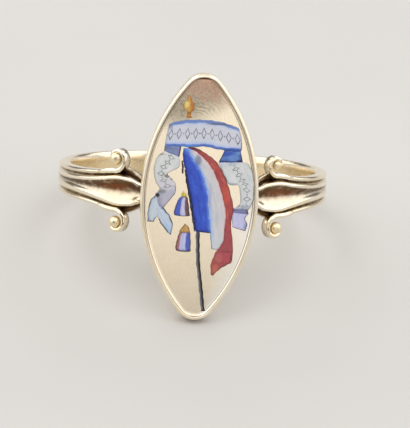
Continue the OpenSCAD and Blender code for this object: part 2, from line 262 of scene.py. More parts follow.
# A node group with named inputs, which are numbers or colours as their values are, and named outputs
def newGroup(name, inputs, outputs):
    tree = bpy.data.node_groups.new(name, "ShaderNodeTree")
    number, colour = "NodeSocketFloat", "NodeSocketColor"
    for label, value in inputs.items():
        kind = number if isinstance(value, float) else colour
        feed(tree, tree.interface.new_socket(name=label, in_out="INPUT", socket_type=kind), value)
    for label in outputs:
        kind = colour if label == "Color" else number
        tree.interface.new_socket(name=label, in_out="OUTPUT", socket_type=kind)
    return tree, tree.nodes.new("NodeGroupInput").outputs, tree.nodes.new("NodeGroupOutput").inputs


def useGroup(tree, group, **values):
    node = newNode(tree, "ShaderNodeGroup", node_tree=group)
    for key, value in values.items():
        feed(tree, node.inputs[key], value)
    return node.outputs


def newMaterial(name):
    material = bpy.data.materials.new(name)
    material.use_nodes = True
    tree = material.node_tree
    return material, tree, tree.nodes["Principled BSDF"]


def bumpOn(tree, shader, height, strength, bumpMm):
    bump = newNode(tree, "ShaderNodeBump", Strength=strength, Distance=bumpMm * mm)
    tree.links.new(height, bump.inputs["Height"])
    tree.links.new(bump.outputs["Normal"], shader.inputs["Normal"])


# Hand wear on gold: soft dents, fine scratches in three directions, and small pits
wearLook = {"dentsPerMm": 0.9, "scratchesPerMm": 9.0, "pitsPerMm": 7.0, "cutDepth": 0.05,
            "scratchStretch": (1.0, 0.06, 1.0),
            "scratchTurns": ((0.3, 0.2, 0.5), (1.2, 0.7, 1.9), (2.1, 1.4, 0.2))}


def makeWear():
    tree, given, result = newGroup(
        "handWear", {"Dents": 1.0, "Scratches": 1.0, "Pits": 1.0}, ("Height", "Haze"))
    dents = times(tree, grain(tree, wearLook["dentsPerMm"], detail=2.0, rough=0.45), given["Dents"])
    scratches = 0.0
    for turn in wearLook["scratchTurns"]:
        line = grain(tree, wearLook["scratchesPerMm"], 2.0, stretch=wearLook["scratchStretch"], turn=turn)
        scratches = plus(tree, scratches, ramp(tree, line, low=0.62, high=0.72))
    scratches = times(tree, scratches, given["Scratches"])
    pits = ramp(tree, grain(tree, wearLook["pitsPerMm"]), low=0.28, high=0.36, start=1.0, end=0.0)
    pits = times(tree, pits, given["Pits"])
    cuts = times(tree, plus(tree, scratches, pits), wearLook["cutDepth"])
    tree.links.new(minus(tree, dents, cuts), result["Height"])
    tree.links.new(plus(tree, scratches, pits, limit=True), result["Haze"])
    return tree


# Old gold's colour: warmer and cooler patches, and brown tarnish where a cloth doesn't reach, also painted
# shade
def makeFilm():
    tree, given, result = newGroup(
        "goldFilm", {"Clean": (0.9, 0.7, 0.4), "Warm": (0.85, 0.6, 0.3), "Film": (0.3, 0.16, 0.07),
                     "Hollow": 0.0, "Amount": 1.0}, ("Color", "Mask"))
    patches = ramp(tree, grain(tree, 0.45), low=0.35, high=0.7, start=0.1, end=0.5)
    metal = blendColour(tree, patches, given["Clean"], given["Warm"])
    ragged = ramp(tree, grain(tree, 2.2, detail=4.0), low=0.25, high=0.75, start=0.55, end=1.15)
    # The brown mask is partly tarnish and partly painted shade
    mask = times(tree, given["Hollow"], ragged, given["Amount"], limit=True)
    tree.links.new(blendColour(tree, mask, metal, given["Film"]), result["Color"])
    tree.links.new(mask, result["Mask"])
    return tree


wearGroup, tarnishAndShadeGroup = makeWear(), makeFilm()


def goldMaterial(name, look):
    material, tree, shader = newMaterial(name)
    tarnishAndShade = useGroup(tree, tarnishAndShadeGroup, Clean=look["clean"], Warm=look["warm"], Film=look["tarnishAndShade"],
                    Hollow=pointValue(tree, "hollow"), Amount=look["tarnishAndShadeAmount"])
    inside = pointValue(tree, "inside")
    # The red painted shade goes over the metal on the flute near the tray
    redShaded = times(tree, pointValue(tree, "redShade"), look["redShadeAmount"], limit=True)
    metal = blendColour(tree, times(tree, inside, look["insideWarm"]), tarnishAndShade["Color"], look["warm"])
    tree.links.new(blendColour(tree, redShaded, metal, look["redShade"]), shader.inputs["Base Color"])
    wear = useGroup(tree, wearGroup, Dents=look["dents"], Scratches=look["scratches"], Pits=look["pits"])
    rough = plus(tree, times(tree, wear["Haze"], look["hazeRough"]),
                 times(tree, grain(tree, 1.6, detail=4.0), look["unevenRough"]),
                 times(tree, inside, look["insideRough"]), times(tree, tarnishAndShade["Mask"], look["tarnishAndShadeRough"]),
                 look["rough"], limit=True)
    tree.links.new(rough, shader.inputs["Roughness"])
    shader.inputs["Metallic"].default_value = 1.0
    bumpOn(tree, shader, wear["Height"], look["bump"], look["bumpMm"])
    return material


hoopLook = {
    "clean": (0.93, 0.85, 0.71), "warm": (0.90, 0.74, 0.46), "tarnishAndShade": (0.12, 0.066, 0.028), "tarnishAndShadeAmount": 0.85,
    "redShade": (0.25, 0.085, 0.035), "redShadeAmount": 0.85, "insideWarm": 0.9, "rough": 0.11, "unevenRough": 0.10,
    "hazeRough": 0.10, "tarnishAndShadeRough": 0.16, "insideRough": 0.16, "dents": 1.0, "scratches": 0.8, "pits": 0.6,
    "bump": 0.6, "bumpMm": 0.03,
}
ringGold = goldMaterial("ringGold", hoopLook)
# The tray was stoned flat and is more satin than the hoop
rimLook = {**hoopLook, "rough": 0.30, "unevenRough": 0.08, "dents": 0.5, "scratches": 0.5, "tarnishAndShadeAmount": 0.35}
rimGold = goldMaterial("rimGold", rimLook)
print("stage: gold ready")

# Hoop and shoulders
hoop = {"boreR": 8.75, "bandR": 9.6, "bandW": 2.1, "bandRound": 0.35, "bridgeW": 1.6, "bridgeEmbed": 0.15,
        "edgeSoft": 0.18, "steps": 4, "shoulderTurns": 130, "backTurns": 60, "bridgeTurns": 18,
        "crowding": 1.35}
shoulder = {"length": 13.6, "width": 3.3, "fluteW": 1.8, "ridgeT": 0.36, "fluteD": 0.52, "grooveD": 0.4,
            "crestRise": 0.45, "wireT": 0.34, "wireDrop": 0.05, "ridgeFall": 0.02}
# Where tarnish and painted shade lie: each pair is where a change starts and where it ends. Beside ridge,
# edge and flute they are in mm, across the flute in shares of its half width, and along in shares of the
# shoulder
shoulderFilm = {
    "besideRidge": (0.0, 0.20), "besideEdge": (0.06, 0.18), "inFlute": (0.04, 0.17),
    # The flute's upper half and floor, the strip by the tray and the corners there are painted shade, red
    # included
    "upperFlute": (-0.65, 0.50), "redFromBelow": (-0.30, 0.30), "redToAbove": (0.30, 0.70),
    "redStart": (0.01, 0.11), "redEnd": (0.14, 0.36), "byTray": (0.05, 0.15), "trayRidge": (0.05, 0.20),
    # The bore's range and pale set the painted highlight along the finger's side
    "boreHighlight": (0.15, 0.65), "fluteFloor": 0.14, "fluteUpper": 1.35, "trayAmount": 0.7, "corner": 0.04,
    "trayCorner": 0.95, "pale": 0.9,
}
tray = {"halfL": 8.45, "halfW": 4.025, "tipR": 1.5, "back": 9.15, "height": 1.4, "rimW": 0.27, "chamfer": 0.3,
        "backInset": 0.9, "rimDepth": 0.24, "sideSteps": 60, "tipSteps": 26}
plaque = {"thick": 0.45, "drop": 0.2, "edge": 0.17, "clear": 0.012, "dome": 0.08, "lip": 0.09, "lipFall": 2.4}
trayFront = tray["back"] + tray["height"]
plaqueFront = trayFront - plaque["drop"]
trayAngle = math.degrees(math.asin(tray["halfW"] / hoop["bandR"]))

# Sections close to the solid's, with a shallower flute that ends wider at the tray
shoulderColumns = ("along", "ridge", "spread", "crest", "flute", "groove", "wire", "relief")
shoulderRows = [
    (-0.03, 0.45, -0.30, 1.00, 0.25, 0.90, 0.00, 1),
    (0.00, 0.66, 0.05, 1.00, 0.55, 1.10, 0.00, 1),
    (0.03, 0.87, 0.38, 0.97, 0.85, 1.50, 0.00, 1),
    (0.07, 0.97, 0.75, 0.90, 0.95, 1.70, 0.00, 1),
    (0.105, 1.00, 0.98, 0.82, 1.00, 1.50, 0.15, 1),
    (0.15, 0.95, 0.78, 0.73, 1.00, 1.20, 0.60, 1),
    (0.205, 0.80, 0.54, 0.62, 0.80, 1.05, 0.95, 1),
    (0.32, 0.58, 0.26, 0.42, 0.54, 1.00, 1.00, 1),
    (0.44, 0.46, 0.12, 0.27, 0.40, 0.90, 1.00, 1),
    (0.60, 0.39, 0.03, 0.14, 0.32, 0.80, 1.00, 1),
    (0.82, 0.35, 0.00, 0.03, 0.26, 0.70, 1.00, 0.70),
    (1.00, 0.33, 0.00, 0.00, 0.22, 0.60, 1.00, 0.00)]


def shoulderValue(label, share):
    return smoothValue(shoulderRows, shoulderColumns.index(label), share)


def shoulderAngle(u):
    return trayAngle + math.degrees(u / hoop["bandR"])


def shoulderEdge(share):
    return hoop["bandW"] / 2 + shoulderValue("spread", share) * (shoulder["width"] - hoop["bandW"]) / 2


# Half of the plain band's section, as height and radius
def plainHalf(e):
    r, soft = hoop["bandR"], hoop["bandRound"]
    flat = [(k * (e - soft), r) for k in (0, 0.2, 0.36, 0.5, 0.6, 0.7, 0.8, 0.9, 1)]
    edge = [(e - 0.6 * soft, r - 0.08 * soft), (e - 0.2 * soft, r - 0.4 * soft), (e, r - soft)]
    return np.array(flat + edge)


# Half of a shoulder's section: flute, ridge, groove and edge wire
def reliefHalf(share, e):
    top = hoop["bandR"] + shoulder["crestRise"] * shoulderValue("crest", share)
    middle = shoulder["fluteW"] / 2 * shoulderValue("ridge", share)
    hollow = shoulder["fluteD"] * shoulderValue("flute", share)
    low = top - shoulder["grooveD"] * shoulderValue("groove", share)
    bead = mix(low, top - shoulder["wireDrop"], shoulderValue("wire", share))
    ridgeT, t = shoulder["ridgeT"], shoulder["wireT"] / 2
    inner, outer = middle - 0.5 * ridgeT, middle + 0.45 * ridgeT
    gap = e - 2 * t - outer
    return np.array([
        (0, top - hollow), (0.5 * inner, top - 0.76 * hollow), (0.95 * inner, top - 0.24 * hollow),
        (middle - 0.2 * ridgeT, top), (middle + 0.2 * ridgeT, top - shoulder["ridgeFall"]),
        (outer, mix(top, low, 0.22)), (outer + 0.50 * gap, mix(top, low, 0.60)), (outer + 0.84 * gap, low),
        (e - 1.75 * t, mix(low, bead, 0.75)),
        (e - t, bead), (e - 0.25 * t, bead - 0.4 * t), (e, bead - 1.1 * t)])


# Half of the section of the strip that crosses under the tray
def bridgeHalf(angle, e):
    top = (tray["back"] + hoop["bridgeEmbed"]) / math.cos(math.radians(angle))
    return np.array([(k * e, top) for k in (0, 0.2, 0.36, 0.46, 0.56, 0.64, 0.71, 0.78, 0.84, 0.90, 0.95, 1)])


firstShare = shoulderRows[0][0]
firstAngle = shoulderAngle(firstShare * shoulder["length"])
lastAngle = shoulderAngle(shoulder["length"])
bridgeEnd = 0.85 * firstAngle


def shoulderHalf(share):
    e = shoulderEdge(share)
    return mix(plainHalf(e), reliefHalf(share, e), shoulderValue("relief", share))


def halfSection(angle):
    if angle <= bridgeEnd:
        return bridgeHalf(angle, hoop["bridgeW"] / 2)
    if angle < firstAngle:
        k = (angle - bridgeEnd) / (firstAngle - bridgeEnd)
        return mix(bridgeHalf(bridgeEnd, hoop["bridgeW"] / 2), shoulderHalf(firstShare), k)
    share = (angle - trayAngle) / (lastAngle - trayAngle)
    return shoulderHalf(share) if share < 1 else plainHalf(hoop["bandW"] / 2)


# Closed section: smooth outside, then the soft inner edges and the finger's side
def hoopSection(half):
    e, soft, bore = half[-1][0], hoop["edgeSoft"], hoop["boreR"]
    outside = np.concatenate([half[::-1], half[1:] * np.array([-1, 1])])
    outside = smoothLine(outside, hoop["steps"])
    flat = e - soft
    corner = [(-e, bore + 2.0 * soft), (-e, bore + soft), (-(e - 0.3 * soft), bore + 0.3 * soft),
              (-flat, bore)]
    inside = corner + [(-0.5 * flat, bore), (0, bore), (0.5 * flat, bore)]
    inside += [(-z, r) for z, r in reversed(corner)]
    return outside, np.array(inside)


# Section at an angle, with tarnish and painted shade in the grooves, painted shade on the flute's upper half
# and by the tray, and a red painted shade on the flute, reddest near the tray
def fullSection(angle):
    half = halfSection(angle)
    outside, inside = hoopSection(half)
    tarnishAndShade, e = shoulderFilm, half[-1][0]
    share = (angle - trayAngle) / (lastAngle - trayAngle)
    level = clamp(shoulderValue("relief", clamp(share))) if angle > bridgeEnd else 0.0
    ridge = shoulder["fluteW"] / 2 * shoulderValue("ridge", clamp(share))
    z, r = outside[:, 0], outside[:, 1]
    fromRidge = np.abs(z) - ridge
    groove = np.clip((half[:, 1].max() - r) / shoulder["grooveD"], 0, 1)
    groove = groove * between(fromRidge, *tarnishAndShade["besideRidge"]) * between(e - np.abs(z), *tarnishAndShade["besideEdge"])
    flute, place = between(-fromRidge, *tarnishAndShade["inFlute"]), z / max(ridge, 0.1)
    upper = flute * between(place, *tarnishAndShade["upperFlute"])
    redShade = flute * between(place, *tarnishAndShade["redFromBelow"]) * (1 - between(place, *tarnishAndShade["redToAbove"]))
    redShade = redShade * between(share, *tarnishAndShade["redStart"]) * (1 - between(share, *tarnishAndShade["redEnd"]))
    byTray = 1 - between(share, *tarnishAndShade["byTray"])
    nearTray = byTray * between(fromRidge, *tarnishAndShade["trayRidge"])
    outer = groove + tarnishAndShade["fluteFloor"] * flute + tarnishAndShade["fluteUpper"] * upper + tarnishAndShade["trayAmount"] * nearTray
    # The finger's side is painted whiter along its upper edge, as a painted highlight
    boreWarmBelowHighlight = 1 - tarnishAndShade["pale"] * between(inside[:, 0] / e, *tarnishAndShade["boreHighlight"])
    corners = np.full(len(inside), tarnishAndShade["corner"])
    corners[:3] = corners[-3:] = tarnishAndShade["corner"] + tarnishAndShade["trayCorner"] * byTray * level
    return (np.concatenate([outside, inside]), np.concatenate([outer * level, corners]),
            np.concatenate([redShade * level, 0 * corners]), np.concatenate([0 * z, boreWarmBelowHighlight]))


def polar(angle, radius, z):
    a, radius = np.radians(angle), np.asarray(radius, dtype=float)
    return np.stack([radius * np.sin(a), -radius * np.cos(a), z + 0 * radius], -1)


def buildHoop():
    turns = list(np.linspace(0, firstAngle, hoop["bridgeTurns"], endpoint=False))
    turns += [mix(firstAngle, lastAngle, (i / hoop["shoulderTurns"]) ** hoop["crowding"])
              for i in range(hoop["shoulderTurns"])]
    turns += list(np.linspace(lastAngle, 180, hoop["backTurns"]))
    turns += [-a for a in reversed(turns[1:-1])]
    points, hollow, redShade, inside = [], [], [], []
    for angle in turns:
        section, depth, redness, within = fullSection(abs(angle))
        points.append(polar(angle, section[:, 1], section[:, 0]))
        hollow.append(depth)
        redShade.append(redness)
        inside.append(within)
    faces = ringFaces(len(turns), len(points[0]), True)
    points, hollow, redShade, inside = (np.concatenate(rows) for rows in (points, hollow, redShade, inside))
    values = {"hollow": hollow, "redShade": redShade, "inside": inside}
    makePiece("hoop", points, faces, values, ringGold, "ring")


buildHoop()

# Navette tray
sideR = (tray["halfW"] ** 2 + (tray["halfL"] - tray["tipR"]) ** 2 - tray["tipR"] ** 2) / (
    2 * (tray["halfW"] - tray["tipR"]))
sideC, tipC = sideR - tray["halfW"], tray["halfL"] - tray["tipR"]
quarter = 90 - math.degrees(math.atan2(sideC, tipC))
# The rim over its wall: across from the outside, and fall below the tray's front
rimRows = [(0.0, 0.34), (0.003, 0.28), (0.014, 0.22), (0.036, 0.165), (0.066, 0.12), (0.10, 0.088),
           (0.134, 0.066), (0.166, 0.054), (0.192, 0.05), (0.21, 0.052), (0.226, 0.06), (0.240, 0.075),
           (0.252, 0.096), (0.261, 0.122), (0.267, 0.15), (0.27, 0.18)]


# Points of the navette's outline drawn in by an inset, at a distance from the finger's axis
def navetteRing(inset, distance):
    points = []
    for m in (1, -1):
        for i in range(tray["sideSteps"]):
            a = math.radians(mix(-quarter, quarter, i / tray["sideSteps"]))
            points.append((m * ((sideR - inset) * math.cos(a) - sideC), m * (sideR - inset) * math.sin(a)))
        for i in range(tray["tipSteps"]):
            a = math.radians(mix(quarter, 180 - quarter, i / tray["tipSteps"]))
            t = tray["tipR"] - inset
            points.append((m * t * math.cos(a), m * (tipC + t * math.sin(a))))
    points = np.array(points)
    return np.stack([-points[:, 0], np.full(len(points), -distance), points[:, 1]], 1)


def navetteFaces(rings):
    return [f[::-1] for f in ringFaces(len(rings), len(rings[0]), False)]


# Each row is an inset, a distance from the finger's axis, and its share of tarnish and painted shade
def buildTray():
    back, rim, chamfer = tray["back"], tray["rimW"], tray["chamfer"]
    floor = plaqueFront - plaque["thick"] - plaque["clear"]
    rows = [(tray["backInset"], back, 0.1), (chamfer + 0.06, back, 0.15), (chamfer, back, 0.15)]
    rows += [(chamfer * (1 - math.sin(a)), back + chamfer * (1 - math.cos(a)), 0.15)
             for a in np.radians([15, 30, 45, 60, 75])]
    rows += [(0, back + chamfer, 0.1), (0, back + chamfer + 0.05, 0.1), (0, mix(back, trayFront, 0.55), 0.05)]
    rows += [(across, trayFront - fall, 0.0) for across, fall in rimRows]
    # The rim's inner wall and the floor under the plaque are darkened with painted shade
    rows += [(rim, trayFront - tray["rimDepth"], 0.5), (rim, floor, 1.0)]
    rings = [navetteRing(inset, distance) for inset, distance, tarnishAndShade in rows]
    values = {"hollow": np.repeat([tarnishAndShade for inset, distance, tarnishAndShade in rows], len(rings[0]))}
    makePiece("tray", np.concatenate(rings), navetteFaces(rings), values, rimGold, "ring")


buildTray()

# Scrolls
scroll = {"u": 1.76, "z": 2.2, "r": 0.78, "eyeD": 0.8, "depth": 0.7, "wire": 0.34, "wireEnd": 0.65,
          "curlSteps": 18, "steps": 5, "crownSteps": 13, "eyeRise": 0.35, "eyeFlat": 0.92, "around": 28,
          "tarnishAndShadeDepth": 0.45, "wireFilm": 0.8, "eyeFilm": 0.75, "eyeDull": 0.8}
# Turn in degrees and radius as a share of the curl's
spiralRows = [(-100, 1.12), (-70, 1.08), (-40, 1.02), (0, 0.94), (45, 0.82), (90, 0.64), (125, 0.49),
              (150, 0.38)]
# The scrolls were bent by hand: eye, wire and curl as shares of the solid's, and mm further from the tray
scrollSizes = {"upper_left": (1.16, 1.04, 1.0, 0.12), "lower_left": (1.08, 1.08, 1.0, 0.03),
               "upper_right": (0.84, 1.0, 0.88, -0.30), "lower_right": (1.08, 1.14, 1.0, -0.16)}
# The wire's way in from the shoulder: back in curl radii, share of the way up, thickness and lift
leadRows = [(2.8, 0.00, 0.40, 0.25), (2.0, 0.04, 0.65, 0.75), (1.45, 0.15, 0.90, 0.95),
            (0.9, 0.42, 1.00, 1.00)]
scrollTop = hoop["bandR"] + 0.8 * shoulder["crestRise"]


def spiralPoint(angle, curl, moved):
    r, a = curl * scroll["r"] * smoothValue(spiralRows, 1, angle), math.radians(angle)
    return scroll["u"] + moved - r * math.cos(a), scroll["z"] + r * math.sin(a)


def scrollPath(curl, moved):
    firstTurn, lastTurn = spiralRows[0][0], spiralRows[-1][0]
    startZ = spiralPoint(firstTurn, curl, moved)[1]
    path = []
    for back, place, size, lift in leadRows:
        u = scroll["u"] + moved + back * scroll["r"]
        edge = shoulderEdge(u / shoulder["length"]) - scroll["wire"] / 2
        path.append((u, mix(edge, startZ, place), size, lift))
    for i in range(scroll["curlSteps"] + 1):
        k = i / scroll["curlSteps"]
        p = spiralPoint(mix(firstTurn, lastTurn, k), curl, moved)
        path.append((*p, mix(1, scroll["wireEnd"], k ** 3), 1))
    return smoothLine(path, scroll["steps"])


# A ball's points and faces, with its own three half sizes along out, beside and up
def ball(centre, halves, around, first):
    out = centre * np.array([1, 1, 0])
    out = out / np.linalg.norm(out)
    upward = np.array((0, 0, 1))
    beside = np.cross(out, upward)
    points, turns = [], []
    for i in range(1, around):
        turn = math.pi * i / around
        for j in range(2 * around):
            a = math.pi * j / around
            level = halves[1] * math.cos(a) * beside + halves[2] * math.sin(a) * upward
            points.append(centre + halves[0] * math.cos(turn) * out + math.sin(turn) * level)
            turns.append(turn / math.pi)
    return points, [f[::-1] for f in ringFaces(around - 1, 2 * around, False, first)], np.array(turns)


# Across and down the wire's section, with a round crest
def wireSection(t, low, top):
    soft, middle = 0.25 * t, mix(low, top, 0.5)
    turns = np.linspace(math.pi, 0, scroll["crownSteps"])
    crown = [(t * math.cos(a), top - t + t * math.sin(a)) for a in turns]
    return ([(-t + soft, low), (-t, low + soft), (-t, middle)] + crown
            + [(t, middle), (t, low + soft), (t - soft, low)])


def buildScroll(name, side, up):
    eyeShare, wireShare, curl, moved = scrollSizes[name]
    path = scrollPath(curl, moved)
    ahead = np.gradient(path[:, :2], axis=0)
    ahead /= np.linalg.norm(ahead, axis=1)[:, None]
    points, hollow = [], []
    for (u, z, size, lift), way in zip(path, ahead):
        t = scroll["wire"] / 2 * size * mix(1, wireShare, lift)
        low = scrollTop - scroll["depth"]
        top = mix(low, scrollTop, lift)
        section = wireSection(t, low, top)
        if side * up < 0:
            section.reverse()
        section = np.array(section)
        angle = side * (trayAngle + np.degrees((u - section[:, 0] * way[1]) / hoop["bandR"]))
        points.append(polar(angle, section[:, 1], up * (z + section[:, 0] * way[0])))
        # Tarnish and painted shade grow down the wire's sides below its crest
        depth = (top - 0.6 * t - section[:, 1]) / scroll["tarnishAndShadeDepth"]
        hollow.append(np.clip(depth, 0, 1) * scroll["wireFilm"])
    faces = ringFaces(len(points), len(points[0]), False)
    points, hollow = list(np.concatenate(points)), list(np.concatenate(hollow))
    # The round eye is a little flatter on its outside, and duller than its wire, with tarnish and painted
    # shade on its inner half
    centre = polar(side * shoulderAngle(scroll["u"] + moved), scrollTop - scroll["eyeRise"] * scroll["eyeD"],
                   up * scroll["z"])
    half = scroll["eyeD"] / 2 * eyeShare
    eye, eyeFaces, turns = ball(centre, (scroll["eyeFlat"] * half, half, half), scroll["around"], len(points))
    hollow += list(scroll["eyeFilm"] * between(turns, 0.3, 0.6))
    inside = [0.0] * len(points) + [scroll["eyeDull"]] * len(eye)
    values = {"hollow": hollow, "inside": inside}
    makePiece("scroll_" + name, np.array(points + eye), faces + eyeFaces, values, ringGold, "ring")


for side, sideName in ((-1, "left"), (1, "right")):
    for up, upName in ((-1, "lower"), (1, "upper")):
        buildScroll(upName + "_" + sideName, side, up)

# A drop of solder left where the lower left shoulder meets the tray
drop = {"angle": -24.9, "radius": 10.02, "z": -0.62, "halves": (0.16, 0.22, 0.17), "around": 12, "tarnishAndShade": 0.6}


def buildSolderDrop():
    centre = polar(drop["angle"], drop["radius"], drop["z"])
    points, faces, turns = ball(centre, drop["halves"], drop["around"], 0)
    # Tarnish and painted shade over the drop's inner half
    values = {"hollow": drop["tarnishAndShade"] * between(turns, 0.35, 0.65)}
    makePiece("solder_drop", np.array(points), faces, values, ringGold, "ring")


buildSolderDrop()
print("stage: ring built")

# Plaque
paintW, paintL = 3.655, 8.08
plaqueLook = {
    "clean": (0.93, 0.815, 0.64), "warm": (0.91, 0.77, 0.57), "tarnishAndShade": (0.40, 0.26, 0.14), "tarnishAndShadeAmount": 0.7,
    # The dull patch near the upper tip is also painted shade, and the pink at the tip is painted shade
    "dullAndShade": (0.33, 0.28, 0.205), "dullAndShadeSlant": (3.8, 7.0), "dullAndShadeTip": (4.2, 6.0), "slant": -1.0, "wobble": 2.4,
    "dullAndShadeLeast": 0.62, "dullAndShadeSpecks": 0.40, "pink": (0.60, 0.36, 0.26), "pinkTip": (6.5, 7.5),
    "pinkAmount": 0.5, "white": (0.97, 0.93, 0.85), "whiteAmount": 0.75, "thumb": (-0.3, 5.1),
    "linesPerMm": 4.3, "lineBend": 0.7, "light": (0.86, 0.76, 0.58), "redLine": (0.62, 0.34, 0.24),
    "redLineTip": (5.9, 6.8), "lineAmount": 0.9, "lineHeight": 0.12, "rough": 0.25, "dullRough": 0.20,
    "wearRough": 0.06, "dents": 0.7, "scratches": 0.5, "pits": 0.15, "bump": 0.5, "bumpMm": 0.01,
}
# At the upper tip the sheet has sunk from the rim and left a slit, made darker with painted shade
slit = {"x": -0.02, "half": 0.44, "z": (7.2, 7.8), "deep": 0.06, "tarnishAndShade": 0.6}
# Painted brown shadow under the rim at the upper left, and a whiter painted highlight along the lower right
corner = {"left": (0.6, 1.4), "up": (2.6, 3.8), "tarnishAndShade": 1.2}
highlightPlace = {"across": (0.30, 0.85), "down": (-1.5, 2.0), "halfW": 4.0, "halfL": 8.6}


# The sheet is a little domed, and the paint follows it
def domeAt(x, z):
    return plaque["dome"] * np.clip(1 - (x / paintW) ** 2 * 0.8 - (z / paintL) ** 2, 0, 1)


# Each row is an inset, a distance from the finger's axis, its share of tarnish and painted shade, and its
# share of the dome and of the slit
def buildPlaque():
    floor, lip, inset = plaqueFront - plaque["thick"], plaque["lip"], tray["rimW"] + plaque["clear"]
    rows = [(inset, floor, 0.8, 0, 1), (inset, plaqueFront - 0.04, 0.5, 0, 1),
            (inset, plaqueFront + 0.5 * lip, 0.4, 0, 1)]
    # The edge is burnished up a little against the rim
    for k, sunk in ((0, 1), (0.08, 1), (0.18, 1), (0.3, 1), (0.45, 1), (0.6, 0.6), (0.8, 0.3), (1, 0.1)):
        rise = lip * (1 - k) ** plaque["lipFall"]
        rows.append((inset + plaque["edge"] * k, plaqueFront + rise, 0.22 * (1 - k) ** 3, 1, sunk))
    rows += [(inset + plaque["edge"] + d, plaqueFront, 0.0, 1, 0) for d in (0.1, 0.3, 0.6, 0.9)]
    rings = [navetteRing(row[0], row[1]) for row in rows]
    # Inside the last inset the outline shrinks towards the middle instead
    for k in (0.85, 0.7, 0.55, 0.4, 0.25, 0.1):
        rings.append(rings[len(rows) - 1] * np.array([k, 1, k]))
    shares = np.array([row[2:] for row in rows] + [(0.0, 1, 0)] * (len(rings) - len(rows)))
    hollow, onFace, slitShare = np.repeat(shares, len(rings[0]), axis=0).T
    points = np.concatenate(rings)
    points[:, 1] -= domeAt(points[:, 0], points[:, 2]) * onFace
    x, z = points[:, 0], points[:, 2]
    sunk = np.exp(-((x - slit["x"]) / slit["half"]) ** 4) * between(z, *slit["z"]) * slitShare
    points[:, 2] -= slit["deep"] * sunk
    points[:, 1] += slit["deep"] * sunk
    # Painted shadow under the rim at the upper left, painted shade in the slit, and a painted highlight at
    # lower right
    upperLeft = between(-x, *corner["left"]) * between(z, *corner["up"])
    hollow = np.clip(hollow * (1 + corner["tarnishAndShade"] * upperLeft) + slit["tarnishAndShade"] * sunk, 0, 1)
    across = x / (highlightPlace["halfW"] * (1 - (z / highlightPlace["halfL"]) ** 2) + 0.1)
    paintedHighlight = between(across, *highlightPlace["across"]) * between(-z, *highlightPlace["down"])
    values = {"hollow": hollow, "paintedHighlight": paintedHighlight, "placeX": x, "placeZ": z}
    makePiece("plaque_sheet", points, navetteFaces(rings), values, plaqueMaterial(), "plaque")


# Thumb lines: parts of rings round a point, bent by noise, on the right of the tip
def thumbLines(tree, x, z, look):
    thumbX, thumbZ = look["thumb"]
    away = distance(tree, minus(tree, x, thumbX), minus(tree, z, thumbZ))
    bent = plus(tree, away, times(tree, grain(tree, 0.8, detail=2.0, rough=0.5), look["lineBend"]))
    waves = mathNode(tree, "SINE", times(tree, bent, 2 * math.pi * look["linesPerMm"]))
    broken = ramp(tree, grain(tree, 3.0), low=0.32, high=0.52)
    there = times(tree, ramp(tree, x, thumbX - 1.0, thumbX + 0.7), ramp(tree, z, thumbZ - 0.5, thumbZ + 0.5))
    return times(tree, ramp(tree, waves, low=0.1, high=0.9), broken, there)


# Pale satin gold: bright below, dull and finely lined like a thumb mark near the upper tip, where painted
# shade also darkens it, pinker at the very tip
def plaqueMaterial():
    look = plaqueLook
    material, tree, shader = newMaterial("plaqueGold")
    tarnishAndShade = useGroup(tree, tarnishAndShadeGroup, Clean=look["clean"], Warm=look["warm"], Film=look["tarnishAndShade"],
                    Hollow=pointValue(tree, "hollow"), Amount=look["tarnishAndShadeAmount"])
    x, z = pointValue(tree, "placeX"), pointValue(tree, "placeZ")
    # The dull patch is partly real haze and partly painted shade that darkens the gold
    wobble = times(tree, minus(tree, grain(tree, 0.5), 0.5), look["wobble"])
    slanted = plus(tree, z, times(tree, x, look["slant"]), wobble)
    dullAndShade = times(tree, ramp(tree, slanted, *look["dullAndShadeSlant"]), ramp(tree, z, *look["dullAndShadeTip"]))
    speck = ramp(tree, grain(tree, 7.0, detail=4.0, rough=0.7), low=0.40, high=0.66)
    speckled = plus(tree, look["dullAndShadeLeast"], times(tree, speck, look["dullAndShadeSpecks"]))
    hazeAndShade = times(tree, dullAndShade, speckled, limit=True)
    lines = thumbLines(tree, x, z, look)
    shade = blendColour(tree, hazeAndShade, tarnishAndShade["Color"], look["dullAndShade"])
    # A pinker painted shade at the upper tip
    pinkShare = times(tree, ramp(tree, z, *look["pinkTip"]), look["pinkAmount"])
    shade = blendColour(tree, pinkShare, shade, look["pink"])
    # Whiter along the lower right: a painted highlight
    whiteShare = times(tree, pointValue(tree, "paintedHighlight"), look["whiteAmount"])
    shade = blendColour(tree, whiteShare, shade, look["white"])
    lineColour = blendColour(tree, ramp(tree, z, *look["redLineTip"]), look["light"], look["redLine"])
    shade = blendColour(tree, times(tree, lines, look["lineAmount"]), shade, lineColour)
    tree.links.new(shade, shader.inputs["Base Color"])
    wear = useGroup(tree, wearGroup, Dents=look["dents"], Scratches=look["scratches"], Pits=look["pits"])
    rough = plus(tree, look["rough"], times(tree, hazeAndShade, look["dullRough"]),
                 times(tree, wear["Haze"], look["wearRough"]), limit=True)
    tree.links.new(rough, shader.inputs["Roughness"])
    shader.inputs["Metallic"].default_value = 1.0
    height = plus(tree, wear["Height"], times(tree, lines, look["lineHeight"]))
    bumpOn(tree, shader, height, look["bump"], look["bumpMm"])
    return material


buildPlaque()
print("stage: plaque built")

# Enamel
paint = {"rise": 0.07, "fade": 0.10, "sink": 0.02, "step": 0.055, "shift": -0.024, "shake": 0.014,
         "shakeWaves": (7.1, 13.3, 9.7)}


